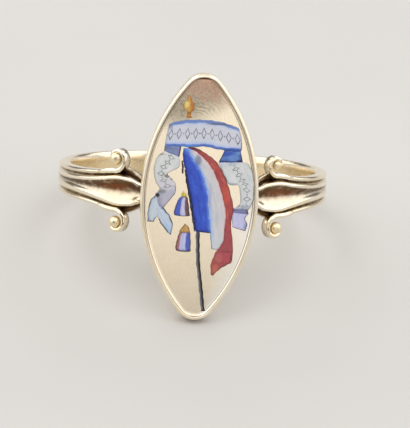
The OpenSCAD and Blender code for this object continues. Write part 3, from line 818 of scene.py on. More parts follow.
# A painted strip between two side lines, in shares of the plaque's half width and half length. It stands a
# little proud of the sheet with soft edges. Each point knows its share across and down, and in millimetres
# its way along the strip, its side of the middle and how far each edge is
def buildStrip(name, look, node):
    scale, seed = np.array([paintW, paintL]), len(name)
    lines = [smoothLine(look[key], 12) * scale for key in ("sideA", "sideB")]
    length = max(np.linalg.norm(np.diff(line, axis=0), axis=1).sum() for line in lines)
    ends = [[line[round(k * (len(line) - 1))] for line in lines] for k in (0, 0.25, 0.5, 0.75, 1)]
    width = max(np.linalg.norm(a - b) for a, b in ends)
    rows, columns = max(8, round(length / paint["step"])), max(6, round(width / paint["step"]))
    a, b = (evenLine(look[key], rows + 1) * scale for key in ("sideA", "sideB"))
    u = np.linspace(0, 1, rows + 1)[:, None]
    v = np.linspace(0, 1, columns + 1)[None, :]
    # A hand's small unsteadiness on both edges
    outward = (a - b) / np.maximum(np.linalg.norm(a - b, axis=1), 0.02)[:, None]
    run, (slow, quick, other) = u * length, paint["shakeWaves"]
    a = a + outward * paint["shake"] * (np.sin(slow * run + seed) + 0.7 * np.sin(quick * run + 2.0 * seed))
    b = b + outward * paint["shake"] * np.sin(other * run + 1.3 * seed)
    grid = a[:, None, :] * (1 - v)[..., None] + b[:, None, :] * v[..., None]
    # The ends may swell outwards in a curve
    ahead = np.gradient((a + b) / 2, axis=0)
    ahead /= np.maximum(np.linalg.norm(ahead, axis=1), 1e-6)[:, None]
    swellStart, swellEnd = look.get("swell", (0.0, 0.0))
    push = (swellEnd * u ** 8 - swellStart * (1 - u) ** 8) * (1 - (2 * v - 1) ** 2)
    grid = grid + push[..., None] * ahead[:, None, :]
    local = np.linalg.norm(a - b, axis=1)[:, None]
    toA, toB = v * local, (1 - v) * local
    toStart, toEnd = run + 0 * toA, (1 - u) * length + 0 * toA
    rim = between(np.minimum(np.minimum(toA, toB), np.minimum(toStart, toEnd)), 0, paint["fade"]) ** 0.6
    x, z = grid[..., 0] + paint["shift"] * paintW, grid[..., 1]
    top = plaqueFront + domeAt(x, z) + look["lift"] + paint["rise"] * (0.35 + 0.65 * rim)
    points = np.stack([x, -top, z], -1).reshape(-1, 3)
    index = np.arange((rows + 1) * (columns + 1)).reshape(rows + 1, columns + 1)
    faces = [(index[i, j], index[i, j + 1], index[i + 1, j + 1], index[i + 1, j])
             for i in range(rows) for j in range(columns)]
    # The skirt down into the sheet
    loop = list(index[0, :]) + list(index[1:, -1]) + list(index[-1, -2::-1]) + list(index[-2:0:-1, 0])
    skirt = points[loop].copy()
    skirt[:, 1] = -(plaqueFront + domeAt(skirt[:, 0], skirt[:, 2]) - paint["sink"])
    first, n = len(points), len(loop)
    faces += [(loop[(i + 1) % n], loop[i], first + i, first + (i + 1) % n) for i in range(n)]
    faces.append(tuple(first + i for i in reversed(range(n))))
    points = np.concatenate([points, skirt])
    values = {"across": v, "down": u, "run": run, "side": (v - 0.5) * local, "toA": toA, "toB": toB,
              "toStart": toStart, "toEnd": toEnd, "placeX": x / paintW - paint["shift"], "placeZ": z / paintL}
    for key, numbers in values.items():
        numbers = (numbers + 0 * toA).reshape(-1)
        values[key] = np.concatenate([numbers, numbers[loop]])
    # Faces look outwards whichever way the edges run
    p = [points[k] for k in faces[len(faces) // 4][:3]]
    if np.cross(p[1] - p[0], p[2] - p[0])[1] > 0:
        faces = [f[::-1] for f in faces]
    makePiece(name, points, faces, values, paintMaterial("paint_" + name, look), node)


# Noise along and beside a strip's middle line, in bumps per millimetre, stretched for brush strokes
def strokeNoise(tree, along, beside, detail, shift=0.0):
    place = newNode(tree, "ShaderNodeCombineXYZ", Z=shift)
    tree.links.new(times(tree, pointValue(tree, "run"), along), place.inputs["X"])
    tree.links.new(times(tree, pointValue(tree, "side"), beside), place.inputs["Y"])
    noise = newNode(tree, "ShaderNodeTexNoise", Scale=1.0, Detail=detail, Roughness=0.6)
    tree.links.new(place.outputs[0], noise.inputs["Vector"])
    return noise.outputs["Fac"]


# Fired pigment: long brush strokes, thinner and thicker patches, and fine grains
def makePigment():
    tree, given, result = newGroup(
        "pigment", {"Ground": (0.7, 0.7, 0.8), "Deep": (0.3, 0.3, 0.5), "Pale": (0.9, 0.9, 1),
                    "Strength": 0.5}, ("Color",))
    deep = ramp(tree, strokeNoise(tree, 0.7, 5.0, 3.0), low=0.46, high=0.72)
    pale = ramp(tree, strokeNoise(tree, 1.1, 3.2, 3.0, 7.0), low=0.50, high=0.74)
    grains = ramp(tree, grain(tree, 6.5), low=0.46, high=0.70)
    shade = blendColour(tree, times(tree, deep, given["Strength"]), given["Ground"], given["Deep"])
    shade = blendColour(tree, times(tree, pale, given["Strength"]), shade, given["Pale"])
    shade = blendColour(tree, times(tree, grains, given["Strength"], 0.35), shade, given["Deep"])
    tree.links.new(shade, result["Color"])
    return tree


# A thin unsteady outline, with its own strength on each of the four edges
def makeOutline():
    tree, given, result = newGroup(
        "outlined", {"Color": (1, 1, 1), "Line": (0.05, 0.05, 0.08), "Width": 0.06, "SideA": 1.0,
                     "SideB": 1.0, "Start": 1.0, "End": 1.0}, ("Color",))
    unsteady = ramp(tree, grain(tree, 1.6, detail=2.0, rough=0.5), low=0.3, high=0.7, start=0.55, end=1.4)
    width = times(tree, unsteady, given["Width"])
    share = 0.0
    for edge, amount in (("toA", "SideA"), ("toB", "SideB"), ("toStart", "Start"), ("toEnd", "End")):
        near = minus(tree, 1.0, over(tree, pointValue(tree, edge), width))
        near = times(tree, ramp(tree, near, low=0.0, high=0.5), given[amount])
        share = mathNode(tree, "MAXIMUM", share, near)
    tree.links.new(blendColour(tree, share, given["Color"], given["Line"]), result["Color"])
    return tree


# A plain row of open lozenges with dots between them, down the middle of a ribbon
def makeLozenges():
    tree, given, result = newGroup(
        "lozengeRow", {"Pitch": 0.6, "HalfTall": 0.3, "HalfWide": 0.15, "Dot": 0.05}, ("Mask",))
    cell = mathNode(tree, "FRACT", over(tree, pointValue(tree, "run"), given["Pitch"]))
    along = times(tree, size(tree, minus(tree, cell, 0.5)), given["Pitch"])
    beside = size(tree, pointValue(tree, "side"))
    outward = plus(tree, over(tree, along, given["HalfWide"]), over(tree, beside, given["HalfTall"]))
    fromLine = size(tree, minus(tree, outward, 0.84))
    lozenge = ramp(tree, fromLine, low=0.08, high=0.24, start=1.0, end=0.0)
    toDot = distance(tree, minus(tree, times(tree, given["Pitch"], 0.5), along), beside)
    dot = ramp(tree, over(tree, toDot, given["Dot"]), low=0.7, high=1.2, start=1.0, end=0.0)
    pressed = ramp(tree, grain(tree, 1.9, detail=2.0, rough=0.5), low=0.3, high=0.65, start=0.55, end=1.0)
    tree.links.new(times(tree, mathNode(tree, "MAXIMUM", lozenge, dot), pressed), result["Mask"])
    return tree


pigmentGroup, outlineGroup, lozengeGroup = makePigment(), makeOutline(), makeLozenges()
enamelLook = {"ink": (48, 48, 58), "inkAmount": 0.9, "lateOver": 0.06, "rough": 0.18, "unevenRough": 0.2,
              "coat": 0.15, "coatRough": 0.12, "gloss": 0.3, "ior": 1.5, "bump": 0.35, "bumpMm": 0.01}


# One strip's enamel. Washes: by which value, from, to, colour, strength and how ragged. Spots: middle across
# and along, half width and half height in shares, colour and strength
def paintMaterial(name, look):
    look = {**enamelLook, **look}
    material, tree, shader = newMaterial(name)
    shade = useGroup(tree, pigmentGroup, Ground=tone(look["ground"]), Deep=tone(look["deep"]),
                     Pale=tone(look["pale"]), Strength=look["strength"])["Color"]
    torn = minus(tree, strokeNoise(tree, 1.4, 4.0, 3.0, 3.0), 0.5)
    for way, start, end, wash, strength, ragged in look.get("washes", []):
        place = plus(tree, pointValue(tree, way), times(tree, torn, ragged))
        share = ramp(tree, place, start, end) if end > start else ramp(tree, place, end, start, 1.0, 0.0)
        shade = blendColour(tree, times(tree, share, strength), shade, tone(wash))
    if "lozenges" in look:
        pitch, tall, wide, dot = look["lozenges"]
        mask = useGroup(tree, lozengeGroup, Pitch=pitch, HalfTall=tall, HalfWide=wide, Dot=dot)["Mask"]
        shade = blendColour(tree, times(tree, mask, look["inkAmount"]), shade, tone(look["ink"]))
    for across, along, wide, tall, spot, strength in look.get("spots", []):
        x = over(tree, minus(tree, pointValue(tree, "placeX"), across), wide)
        z = over(tree, minus(tree, pointValue(tree, "placeZ"), along), tall)
        near = ramp(tree, plus(tree, distance(tree, x, z), torn), 0.5, 1.2, 1.0, 0.0)
        shade = blendColour(tree, times(tree, near, strength), shade, tone(spot))
    outlines = dict(zip(("SideA", "SideB", "Start", "End"), look["outlines"]))
    # A side that runs into another strip has its outline only after a share of the way down
    for side, late in (("SideA", "lateA"), ("SideB", "lateB")):
        if late in look:
            shown = ramp(tree, pointValue(tree, "down"), look[late], look[late] + look["lateOver"])
            outlines[side] = times(tree, outlines[side], shown)
    shade = useGroup(tree, outlineGroup, Color=shade, Line=tone(look["line"]), Width=look["lineMm"],
                     **outlines)["Color"]
    tree.links.new(shade, shader.inputs["Base Color"])
    rough = plus(tree, look["rough"], times(tree, grain(tree, 3.0, detail=4.0), look["unevenRough"]))
    tree.links.new(rough, shader.inputs["Roughness"])
    shader.inputs["Coat Weight"].default_value = look["coat"]
    shader.inputs["Coat Roughness"].default_value = look["coatRough"]
    shader.inputs["Specular IOR Level"].default_value = look["gloss"]
    shader.inputs["IOR"].default_value = look["ior"]
    bumpOn(tree, shader, grain(tree, 3.5, rough=0.5), look["bump"], look["bumpMm"])
    return material


# The strips of each field. Each has how high it is laid, its two sides, its colours as 0 to 255 on the
# screen, and how strong its outline is on both sides, at its start and at its end
ribbonLeft = {
    "ribbon_fold_left": dict(
        lift=0.0,
        sideA=[(-0.665, 0.43), (-0.545, 0.435), (-0.435, 0.435), (-0.355, 0.43)],
        sideB=[(-0.675, 0.388), (-0.59, 0.362), (-0.47, 0.348), (-0.39, 0.33)],
        ground=(122, 136, 176), deep=(92, 102, 146), pale=(158, 172, 208), strength=0.9,
        washes=[("down", 0.62, 1.0, (140, 132, 180), 0.8, 0.2), ("toB", 0.12, 0.0, (84, 88, 122), 0.6, 0.05),
                ("toEnd", 0.16, 0.02, (84, 58, 62), 0.9, 0.05),
                ("toStart", 0.3, 0.0, (96, 104, 120), 0.6, 0.1)],
        line=(70, 72, 96), outlines=(0.0, 0.2, 0.5, 0.9), lineMm=0.06),
    "ribbon_lobe_left": dict(
        lift=0.010,
        sideA=[(-0.668, 0.388), (-0.80, 0.329), (-0.842, 0.27), (-0.850, 0.203), (-0.820, 0.136),
               (-0.724, 0.062)],
        sideB=[(-0.383, 0.342), (-0.376, 0.258), (-0.48, 0.226), (-0.584, 0.192), (-0.457, 0.129),
               (-0.423, 0.088)],
        ground=(210, 213, 213), deep=(184, 194, 194), pale=(226, 222, 228), strength=0.8,
        washes=[("down", 0.62, 0.9, (204, 200, 212), 0.8, 0.2),
                ("toA", 0.16, 0.0, (176, 172, 160), 0.5, 0.05)],
        spots=[(-0.60, 0.175, 0.07, 0.018, (70, 62, 56), 0.7), (-0.50, 0.150, 0.05, 0.012, (60, 50, 46), 0.7),
               (-0.74, 0.358, 0.09, 0.012, (120, 104, 84), 0.6)],
        line=(110, 104, 98), outlines=(0.35, 0.55, 0.1, 0.0), lineMm=0.05, lozenges=(0.52, 0.26, 0.17, 0.05)),
    "ribbon_roll_left": dict(
        lift=0.004,
        sideA=[(-0.725, 0.063), (-0.797, 0.017), (-0.789, -0.011), (-0.748, -0.069), (-0.671, -0.096)],
        sideB=[(-0.423, 0.090), (-0.44, 0.028), (-0.51, -0.016), (-0.573, -0.055), (-0.645, -0.095)],
        ground=(182, 180, 198), deep=(150, 150, 172), pale=(208, 204, 216), strength=0.6,
        washes=[("across", 0.50, 0.1, (140, 142, 156), 0.75, 0.3),
                ("down", 0.16, 0.0, (204, 202, 212), 0.7, 0.1),
                ("down", 0.60, 0.95, (140, 140, 168), 0.7, 0.2)],
        spots=[(-0.69, 0.045, 0.09, 0.022, (108, 112, 112), 0.6),
               (-0.76, 0.010, 0.045, 0.020, (38, 34, 38), 1.0)],
        line=(84, 78, 88), outlines=(0.1, 0.9, 0.0, 0.3), lineMm=0.075),
    "ribbon_tail_left_outer": dict(
        lift=0.006,
        sideA=[(-0.790, 0.013), (-0.868, -0.025), (-0.912, -0.075), (-0.926, -0.146), (-0.929, -0.217)],
        sideB=[(-0.762, -0.006), (-0.722, -0.045), (-0.722, -0.105), (-0.755, -0.163), (-0.813, -0.219)],
        ground=(196, 207, 216), deep=(152, 170, 198), pale=(214, 220, 224), strength=0.6,
        washes=[("toA", 0.20, 0.02, (132, 146, 182), 0.8, 0.06),
                ("down", 0.22, 0.0, (128, 140, 178), 0.75, 0.1),
                ("down", 0.88, 1.0, (170, 160, 170), 0.6, 0.05)],
        spots=[(-0.735, -0.035, 0.035, 0.035, (138, 144, 178), 0.8)],
        line=(74, 78, 104), outlines=(0.9, 0.9, 0.3, 0.85), lineMm=0.085, lateB=0.72),
    "ribbon_tail_left_inner": dict(
        lift=0.008, swell=(0.0, 0.08),
        sideA=[(-0.752, -0.020), (-0.745, -0.09), (-0.753, -0.163), (-0.692, -0.218), (-0.613, -0.268),
               (-0.518, -0.314)],
        sideB=[(-0.728, -0.030), (-0.653, -0.086), (-0.580, -0.126), (-0.503, -0.172), (-0.454, -0.240),
               (-0.480, -0.312)],
        ground=(194, 206, 220), deep=(152, 172, 208), pale=(210, 214, 226), strength=0.6,
        washes=[("down", 0.55, 1.0, (160, 192, 228), 0.8, 0.3),
                ("toB", 0.2, 0.04, (140, 152, 190), 0.65, 0.06)],
        spots=[(-0.735, -0.035, 0.040, 0.035, (138, 144, 178), 0.8),
               (-0.69, -0.068, 0.055, 0.022, (122, 126, 162), 0.9),
               (-0.645, -0.096, 0.05, 0.018, (122, 126, 162), 0.9)],
        line=(46, 52, 66), outlines=(0.9, 1.0, 0.0, 1.0), lineMm=0.095, lateA=0.40),
}
ribbonRight = {
    "ribbon_fold_right": dict(
        lift=0.0,
        sideA=[(0.45, 0.410), (0.555, 0.410), (0.657, 0.407), (0.75, 0.405)],
        sideB=[(0.35, 0.309), (0.508, 0.307), (0.657, 0.307), (0.80, 0.315)],
        ground=(84, 118, 188), deep=(58, 82, 150), pale=(120, 162, 214), strength=0.9,
        washes=[("toB", 0.20, 0.02, (54, 58, 108), 0.75, 0.12), ("toA", 0.22, 0.0, (60, 84, 164), 0.6, 0.2),
                ("down", 0.72, 1.0, (54, 58, 110), 0.6, 0.2)],
        spots=[(0.50, 0.382, 0.12, 0.022, (46, 76, 176), 0.8),
               (0.62, 0.350, 0.13, 0.030, (104, 146, 206), 0.55),
               (0.75, 0.322, 0.07, 0.016, (48, 44, 96), 0.9),
               (0.71, 0.392, 0.06, 0.016, (104, 150, 206), 0.7)],
        line=(42, 44, 76), outlines=(0.0, 0.6, 0.9, 0.9), lineMm=0.08),
    "ribbon_lobe_right": dict(
        lift=0.010,
        sideA=[(0.806, 0.315), (0.895, 0.304), (0.965, 0.257), (1.012, 0.184), (1.032, 0.10), (1.030, 0.02),
               (1.003, -0.044), (0.942, -0.087)],
        sideB=[(0.345, 0.305), (0.455, 0.205), (0.565, 0.122), (0.738, 0.115), (0.77, 0.046), (0.789, -0.03),
               (0.735, -0.058), (0.67, -0.088)],
        ground=(209, 212, 213), deep=(184, 194, 198), pale=(225, 221, 228), strength=0.8,
        washes=[("down", 0.12, 0.0, (182, 190, 216), 0.7, 0.05),
                ("down", 0.82, 0.98, (150, 154, 182), 0.7, 0.1),
                ("toA", 0.10, 0.0, (168, 168, 164), 0.5, 0.03),
                ("toB", 0.16, 0.0, (180, 188, 196), 0.6, 0.05)],
        spots=[(0.62, 0.126, 0.12, 0.012, (138, 148, 160), 0.7),
               (0.72, -0.052, 0.07, 0.012, (64, 50, 44), 0.8)],
        line=(96, 96, 94), outlines=(0.75, 0.45, 0.0, 0.3), lineMm=0.055, lozenges=(0.50, 0.27, 0.16, 0.045)),
    "ribbon_turn_right": dict(
        lift=0.014,
        sideA=[(0.665, -0.076), (0.79, -0.079), (0.93, -0.084)],
        sideB=[(0.660, -0.116), (0.776, -0.126), (0.952, -0.126)],
        ground=(126, 130, 168), deep=(92, 94, 142), pale=(154, 158, 196), strength=0.8,
        washes=[("toB", 0.16, 0.0, (84, 82, 142), 0.9, 0.08), ("down", 0.72, 1.0, (76, 72, 88), 0.8, 0.15)],
        line=(58, 58, 92), outlines=(0.35, 0.9, 0.3, 0.7), lineMm=0.065),
    "ribbon_tail_right": dict(
        lift=0.006, swell=(0.0, 0.02),
        sideA=[(0.653, -0.104), (0.647, -0.174), (0.664, -0.236)],
        sideB=[(0.948, -0.116), (0.893, -0.165), (0.936, -0.215), (0.905, -0.268)],
        ground=(194, 194, 228), deep=(160, 164, 208), pale=(210, 210, 234), strength=0.6,
        washes=[("down", 0.2, 0.0, (168, 168, 222), 0.6, 0.1),
                ("toB", 0.14, 0.0, (110, 114, 160), 0.6, 0.08)],
        spots=[(0.92, -0.228, 0.06, 0.04, (140, 150, 200), 0.8)],
        line=(58, 60, 90), outlines=(0.15, 0.85, 0.0, 0.9), lineMm=0.09),
}
ribbonTop = {
    "ribbon_band": dict(
        lift=0.022, swell=(0.03, 0.14),
        sideA=[(-0.597, 0.616), (-0.387, 0.645), (-0.123, 0.657), (0.173, 0.657), (0.437, 0.639),
               (0.691, 0.601)],
        sideB=[(-0.669, 0.419), (-0.43, 0.427), (-0.192, 0.425), (0.086, 0.435), (0.292, 0.418),
               (0.526, 0.406), (0.757, 0.403)],
        ground=(204, 207, 219), deep=(182, 187, 208), pale=(214, 215, 224), strength=0.6,
        washes=[("toA", 0.42, 0.20, (174, 190, 228), 0.8, 0.12),
                ("toA", 0.26, 0.16, (82, 116, 184), 0.85, 0.18),
                ("toB", 0.46, 0.22, (174, 190, 232), 0.85, 0.12),
                ("toB", 0.25, 0.15, (70, 106, 190), 0.9, 0.18),
                ("toStart", 0.22, 0.0, (150, 158, 190), 0.55, 0.15),
                ("toEnd", 0.20, 0.0, (168, 174, 196), 0.5, 0.1)],
        spots=[(0.42, 0.628, 0.40, 0.012, (84, 88, 118), 0.75),
               (-0.57, 0.60, 0.05, 0.03, (120, 118, 138), 0.6), (0.60, 0.415, 0.2, 0.022, (52, 80, 170), 0.7),
               (-0.25, 0.432, 0.16, 0.022, (96, 150, 222), 0.7)],
        line=(76, 80, 108), outlines=(0.35, 0.15, 0.25, 0.85), lineMm=0.055,
        lozenges=(0.585, 0.42, 0.19, 0.055)),
}
blueEdge = [(-0.266, 0.418), (-0.212, 0.378), (-0.124, 0.32), (-0.023, 0.257), (0.055, 0.188), (0.123, 0.102),
            (0.17, 0.026), (0.191, -0.058), (0.207, -0.143), (0.239, -0.236), (0.253, -0.297)]
redEdge = [(-0.238, 0.417), (-0.096, 0.394), (0.05, 0.344), (0.163, 0.292), (0.277, 0.214), (0.383, 0.108),
           (0.453, 0.012), (0.503, -0.074), (0.529, -0.149), (0.513, -0.231), (0.506, -0.345)]
flagBlue = {
    "stripe_blue": dict(
        lift=0.008,
        sideA=[(-0.323, 0.413), (-0.312, 0.306), (-0.269, 0.241), (-0.231, 0.162), (-0.195, 0.076),
               (-0.136, -0.026), (-0.104, -0.106), (-0.058, -0.214), (-0.028, -0.287)],
        sideB=blueEdge,
        ground=(50, 82, 196), deep=(36, 60, 162), pale=(68, 112, 214), strength=0.8,
        washes=[("toA", 0.30, 0.04, (38, 50, 140), 0.75, 0.2), ("down", 0.10, 0.0, (72, 128, 208), 0.8, 0.05),
                ("toB", 0.20, 0.0, (98, 142, 226), 0.7, 0.25), ("down", 0.94, 1.0, (44, 50, 120), 0.6, 0.03)],
        line=(36, 38, 80), outlines=(0.85, 0.0, 0.2, 0.75), lineMm=0.075),
}
flagWhite = {
    "stripe_white": dict(
        lift=0.0,
        sideA=blueEdge + [(0.283, -0.430)], sideB=redEdge + [(0.452, -0.400), (0.395, -0.436)],
        ground=(204, 202, 206), deep=(172, 178, 194), pale=(216, 212, 214), strength=0.75,
        washes=[("toA", 0.30, 0.0, (136, 174, 238), 0.9, 0.35),
                ("toB", 0.28, 0.0, (222, 192, 198), 0.7, 0.15),
                ("down", 0.12, 0.02, (112, 146, 222), 0.9, 0.08),
                ("down", 0.82, 0.95, (200, 207, 212), 0.8, 0.1)],
        spots=[(-0.03, 0.315, 0.07, 0.05, (112, 122, 150), 0.8),
               (0.22, 0.02, 0.03, 0.10, (160, 166, 196), 0.6),
               (0.27, -0.30, 0.05, 0.05, (164, 188, 226), 0.6),
               (0.36, -0.18, 0.03, 0.09, (176, 186, 196), 0.6)],
        line=(78, 86, 104), outlines=(0.75, 0.0, 0.0, 0.7), lineMm=0.05, lateA=0.84),
}
flagRed = {
    "stripe_red": dict(
        lift=0.010, swell=(0.0, 0.03),
        sideA=redEdge + [(0.458, -0.40), (0.385, -0.445), (0.325, -0.505), (0.290, -0.565),
                      (0.293, -0.645)],
        sideB=[(-0.193, 0.428), (-0.063, 0.418), (0.12, 0.373), (0.291, 0.317), (0.431, 0.228),
               (0.536, 0.126), (0.605, 0.031), (0.662, -0.066), (0.651, -0.143), (0.634, -0.229),
               (0.675, -0.347), (0.689, -0.432), (0.680, -0.528), (0.60, -0.560), (0.471, -0.595),
               (0.335, -0.657)],
        ground=(172, 74, 72), deep=(140, 54, 60), pale=(204, 108, 94), strength=0.9,
        washes=[("down", 0.16, 0.05, (88, 32, 36), 0.95, 0.05), ("down", 0.04, 0.0, (44, 30, 40), 0.9, 0.0),
                ("toB", 0.14, 0.0, (128, 40, 46), 0.75, 0.08), ("toA", 0.07, 0.0, (214, 140, 136), 0.5, 0.08),
                ("down", 0.60, 0.74, (156, 74, 82), 0.8, 0.1),
                ("down", 0.86, 0.97, (170, 84, 72), 0.85, 0.1)],
        spots=[(0.50, 0.03, 0.09, 0.10, (196, 86, 66), 0.65), (0.60, -0.17, 0.05, 0.05, (150, 60, 64), 0.6),
               (0.56, -0.495, 0.13, 0.050, (184, 74, 84), 0.5),
               (0.43, -0.505, 0.08, 0.040, (196, 116, 112), 0.4),
               (0.58, -0.448, 0.11, 0.008, (118, 56, 68), 0.6),
               (0.66, -0.50, 0.025, 0.04, (104, 56, 62), 0.6),
               (0.38, -0.600, 0.06, 0.045, (194, 112, 96), 0.6)],
        line=(100, 58, 54), outlines=(0.3, 0.85, 0.3, 0.95), lineMm=0.075),
}
staff = {
    "staff_lower": dict(
        lift=0.004,
        sideA=[(-0.018, -0.283), (-0.002, -0.42), (0.016, -0.546), (0.048, -0.648), (0.078, -0.74),
               (0.104, -0.82), (0.138, -0.933), (0.148, -0.966)],
        sideB=[(0.055, -0.281), (0.068, -0.42), (0.087, -0.546), (0.118, -0.648), (0.148, -0.74),
               (0.174, -0.82), (0.208, -0.933), (0.218, -0.964)],
        ground=(44, 42, 46), deep=(22, 20, 24), pale=(64, 60, 62), strength=0.8,
        washes=[("across", 0.52, 0.30, (132, 130, 136), 0.75, 0.2),
                ("down", 0.10, 0.0, (70, 66, 96), 0.6, 0.1)],
        line=(22, 20, 22), outlines=(0.25, 0.9, 0.0, 0.9), lineMm=0.06),
    "staff_upper": dict(
        lift=0.016,
        sideA=[(-0.262, 0.185), (-0.236, 0.12), (-0.200, 0.046), (-0.160, -0.04), (-0.124, -0.12),
               (-0.083, -0.215), (-0.052, -0.285)],
        sideB=[(-0.205, 0.180), (-0.186, 0.12), (-0.156, 0.046), (-0.120, -0.04), (-0.088, -0.12),
               (-0.056, -0.215), (-0.028, -0.285)],
        ground=(40, 40, 66), deep=(30, 28, 44), pale=(62, 62, 104), strength=0.8,
        line=(36, 34, 50), outlines=(0.4, 0.0, 0.3, 0.3), lineMm=0.03),
    "staff_mark_high": dict(
        lift=0.0,
        sideA=[(-0.342, 0.31), (-0.336, 0.27), (-0.322, 0.20)],
        sideB=[(-0.312, 0.308), (-0.300, 0.26), (-0.292, 0.202)],
        ground=(64, 46, 44), deep=(40, 30, 32), pale=(100, 78, 66), strength=0.7,
        line=(50, 38, 40), outlines=(0.3, 0.3, 0.3, 0.3), lineMm=0.03),
    "staff_mark_low": dict(
        lift=0.0,
        sideA=[(-0.280, 0.235), (-0.262, 0.18), (-0.240, 0.122)],
        sideB=[(-0.256, 0.232), (-0.236, 0.176), (-0.220, 0.122)],
        ground=(70, 50, 70), deep=(44, 34, 50), pale=(104, 84, 98), strength=0.7,
        line=(50, 38, 50), outlines=(0.3, 0.3, 0.3, 0.3), lineMm=0.03),
    "staff_mark_top": dict(
        lift=0.0,
        sideA=[(-0.412, 0.355), (-0.405, 0.335), (-0.402, 0.312)],
        sideB=[(-0.388, 0.355), (-0.384, 0.335), (-0.382, 0.312)],
        ground=(78, 54, 46), deep=(50, 36, 32), pale=(112, 84, 66), strength=0.7,
        line=(60, 44, 42), outlines=(0.3, 0.3, 0.3, 0.3), lineMm=0.03),
}
finial = {
    "spear_tip": dict(
        lift=0.004,
        sideA=[(-0.250, 0.862), (-0.300, 0.822), (-0.352, 0.768), (-0.325, 0.740), (-0.272, 0.718),
               (-0.289, 0.671)],
        sideB=[(-0.236, 0.862), (-0.190, 0.815), (-0.142, 0.762), (-0.165, 0.738), (-0.205, 0.712),
               (-0.185, 0.673)],
        ground=(202, 162, 86), deep=(170, 120, 56), pale=(222, 196, 126), strength=0.8,
        washes=[("across", 0.42, 0.85, (176, 104, 34), 0.85, 0.3),
                ("down", 0.62, 0.9, (184, 116, 46), 0.7, 0.1)],
        spots=[(-0.285, 0.785, 0.05, 0.03, (232, 208, 132), 0.8),
               (-0.235, 0.712, 0.05, 0.012, (130, 78, 34), 0.6)],
        line=(150, 96, 44), outlines=(0.5, 0.6, 0.3, 0.2), lineMm=0.05),
}
tasselUpper = {
    "tassel_upper_cap": dict(
        lift=0.012, swell=(0.06, 0.0),
        sideA=[(-0.300, 0.040), (-0.318, 0.022), (-0.322, 0.003)],
        sideB=[(-0.252, 0.042), (-0.228, 0.024), (-0.222, 0.003)],
        ground=(206, 194, 84), deep=(170, 150, 50), pale=(226, 218, 128), strength=0.8,
        washes=[("down", 0.75, 1.0, (186, 164, 96), 0.7, 0.1)],
        line=(140, 116, 50), outlines=(0.4, 0.6, 0.3, 0.5), lineMm=0.05),
    "tassel_upper_skirt": dict(
        lift=0.004, swell=(0.04, 0.05),
        sideA=[(-0.342, 0.002), (-0.382, -0.035), (-0.417, -0.075), (-0.440, -0.120), (-0.425, -0.155)],
        sideB=[(-0.205, 0.0), (-0.185, -0.035), (-0.172, -0.075), (-0.156, -0.120), (-0.147, -0.156)],
        ground=(194, 192, 220), deep=(160, 160, 202), pale=(208, 206, 226), strength=0.6,
        washes=[("across", 0.44, 0.34, (58, 84, 186), 0.95, 0.25),
                ("across", 0.12, 0.0, (34, 44, 104), 0.7, 0.1),
                ("across", 0.66, 0.74, (104, 62, 78), 0.95, 0.2),
                ("across", 0.86, 0.94, (48, 36, 44), 0.8, 0.1),
                ("down", 0.12, 0.0, (120, 96, 104), 0.6, 0.05)],
        line=(40, 42, 66), outlines=(0.75, 0.6, 0.3, 0.85), lineMm=0.07),
}
tasselLower = {
    "tassel_lower_cap": dict(
        lift=0.012, swell=(0.05, 0.0),
        sideA=[(-0.232, -0.230), (-0.278, -0.252), (-0.312, -0.282), (-0.322, -0.300)],
        sideB=[(-0.202, -0.230), (-0.158, -0.252), (-0.130, -0.282), (-0.120, -0.300)],
        ground=(196, 158, 96), deep=(164, 118, 58), pale=(216, 184, 124), strength=0.8,
        line=(128, 84, 44), outlines=(0.9, 0.9, 0.6, 0.5), lineMm=0.09),
    "tassel_lower_skirt": dict(
        lift=0.004, swell=(0.0, 0.05),
        sideA=[(-0.322, -0.298), (-0.345, -0.335), (-0.368, -0.375), (-0.387, -0.420), (-0.362, -0.456)],
        sideB=[(-0.122, -0.298), (-0.112, -0.335), (-0.106, -0.375), (-0.102, -0.420), (-0.100, -0.458)],
        ground=(190, 192, 226), deep=(150, 154, 208), pale=(206, 206, 232), strength=0.6,
        washes=[("across", 0.30, 0.16, (160, 84, 72), 0.9, 0.2),
                ("across", 0.58, 0.70, (56, 80, 178), 0.92, 0.25),
                ("across", 0.92, 1.0, (40, 40, 70), 0.7, 0.05), ("down", 0.80, 1.0, (46, 56, 122), 0.8, 0.2)],
        line=(74, 44, 48), outlines=(0.8, 0.7, 0.3, 0.9), lineMm=0.08),
}
paintedFields = (
    ("ribbon_left", "ribbon_enamel", ribbonLeft), ("ribbon_right", "ribbon_enamel", ribbonRight),
    ("ribbon_top", "ribbon_enamel", ribbonTop), ("flag_blue", "blue_enamel", flagBlue),
    ("flag_white", "white_enamel", flagWhite), ("flag_red", "red_enamel", flagRed),
    ("staff", "dark_enamel", staff), ("finial", "amber_enamel", finial),
    ("tassel_upper", "tassel_enamel", tasselUpper), ("tassel_lower", "tassel_enamel", tasselLower))
for node, slotName, strips in paintedFields:
    for name, look in strips.items():
        buildStrip(name, look, node)
print("stage: enamel laid")

# Floor, light and camera
warmLight, coolLight = (1.0, 0.985, 0.96), (0.99, 0.99, 1.0)
studio = {
    "floorSize": 1.2, "floorColour": (0.58, 0.568, 0.55), "floorPatch": 0.96, "floorRough": 0.75,
    "worldColour": (0.54, 0.53, 0.51), "worldStrength": 0.30,
    # Soft boxes seen from the ring: azimuth (0 in front, positive to the right), elevation, distance, width,
    # height, glow and colour
    "lights": {
        "topBox": (-10, 68, 0.32, 0.36, 0.28, 1.5, warmLight),
        "frontCard": (15, 22, 0.34, 0.30, 0.155, 1.0, warmLight),
        "leftBox": (-95, 36, 0.34, 0.56, 0.46, 1.4, warmLight),
        "rightBox": (95, 36, 0.34, 0.56, 0.46, 1.35, coolLight),
        "backBox": (178, 32, 0.36, 0.46, 0.18, 1.7, warmLight),
    },
}


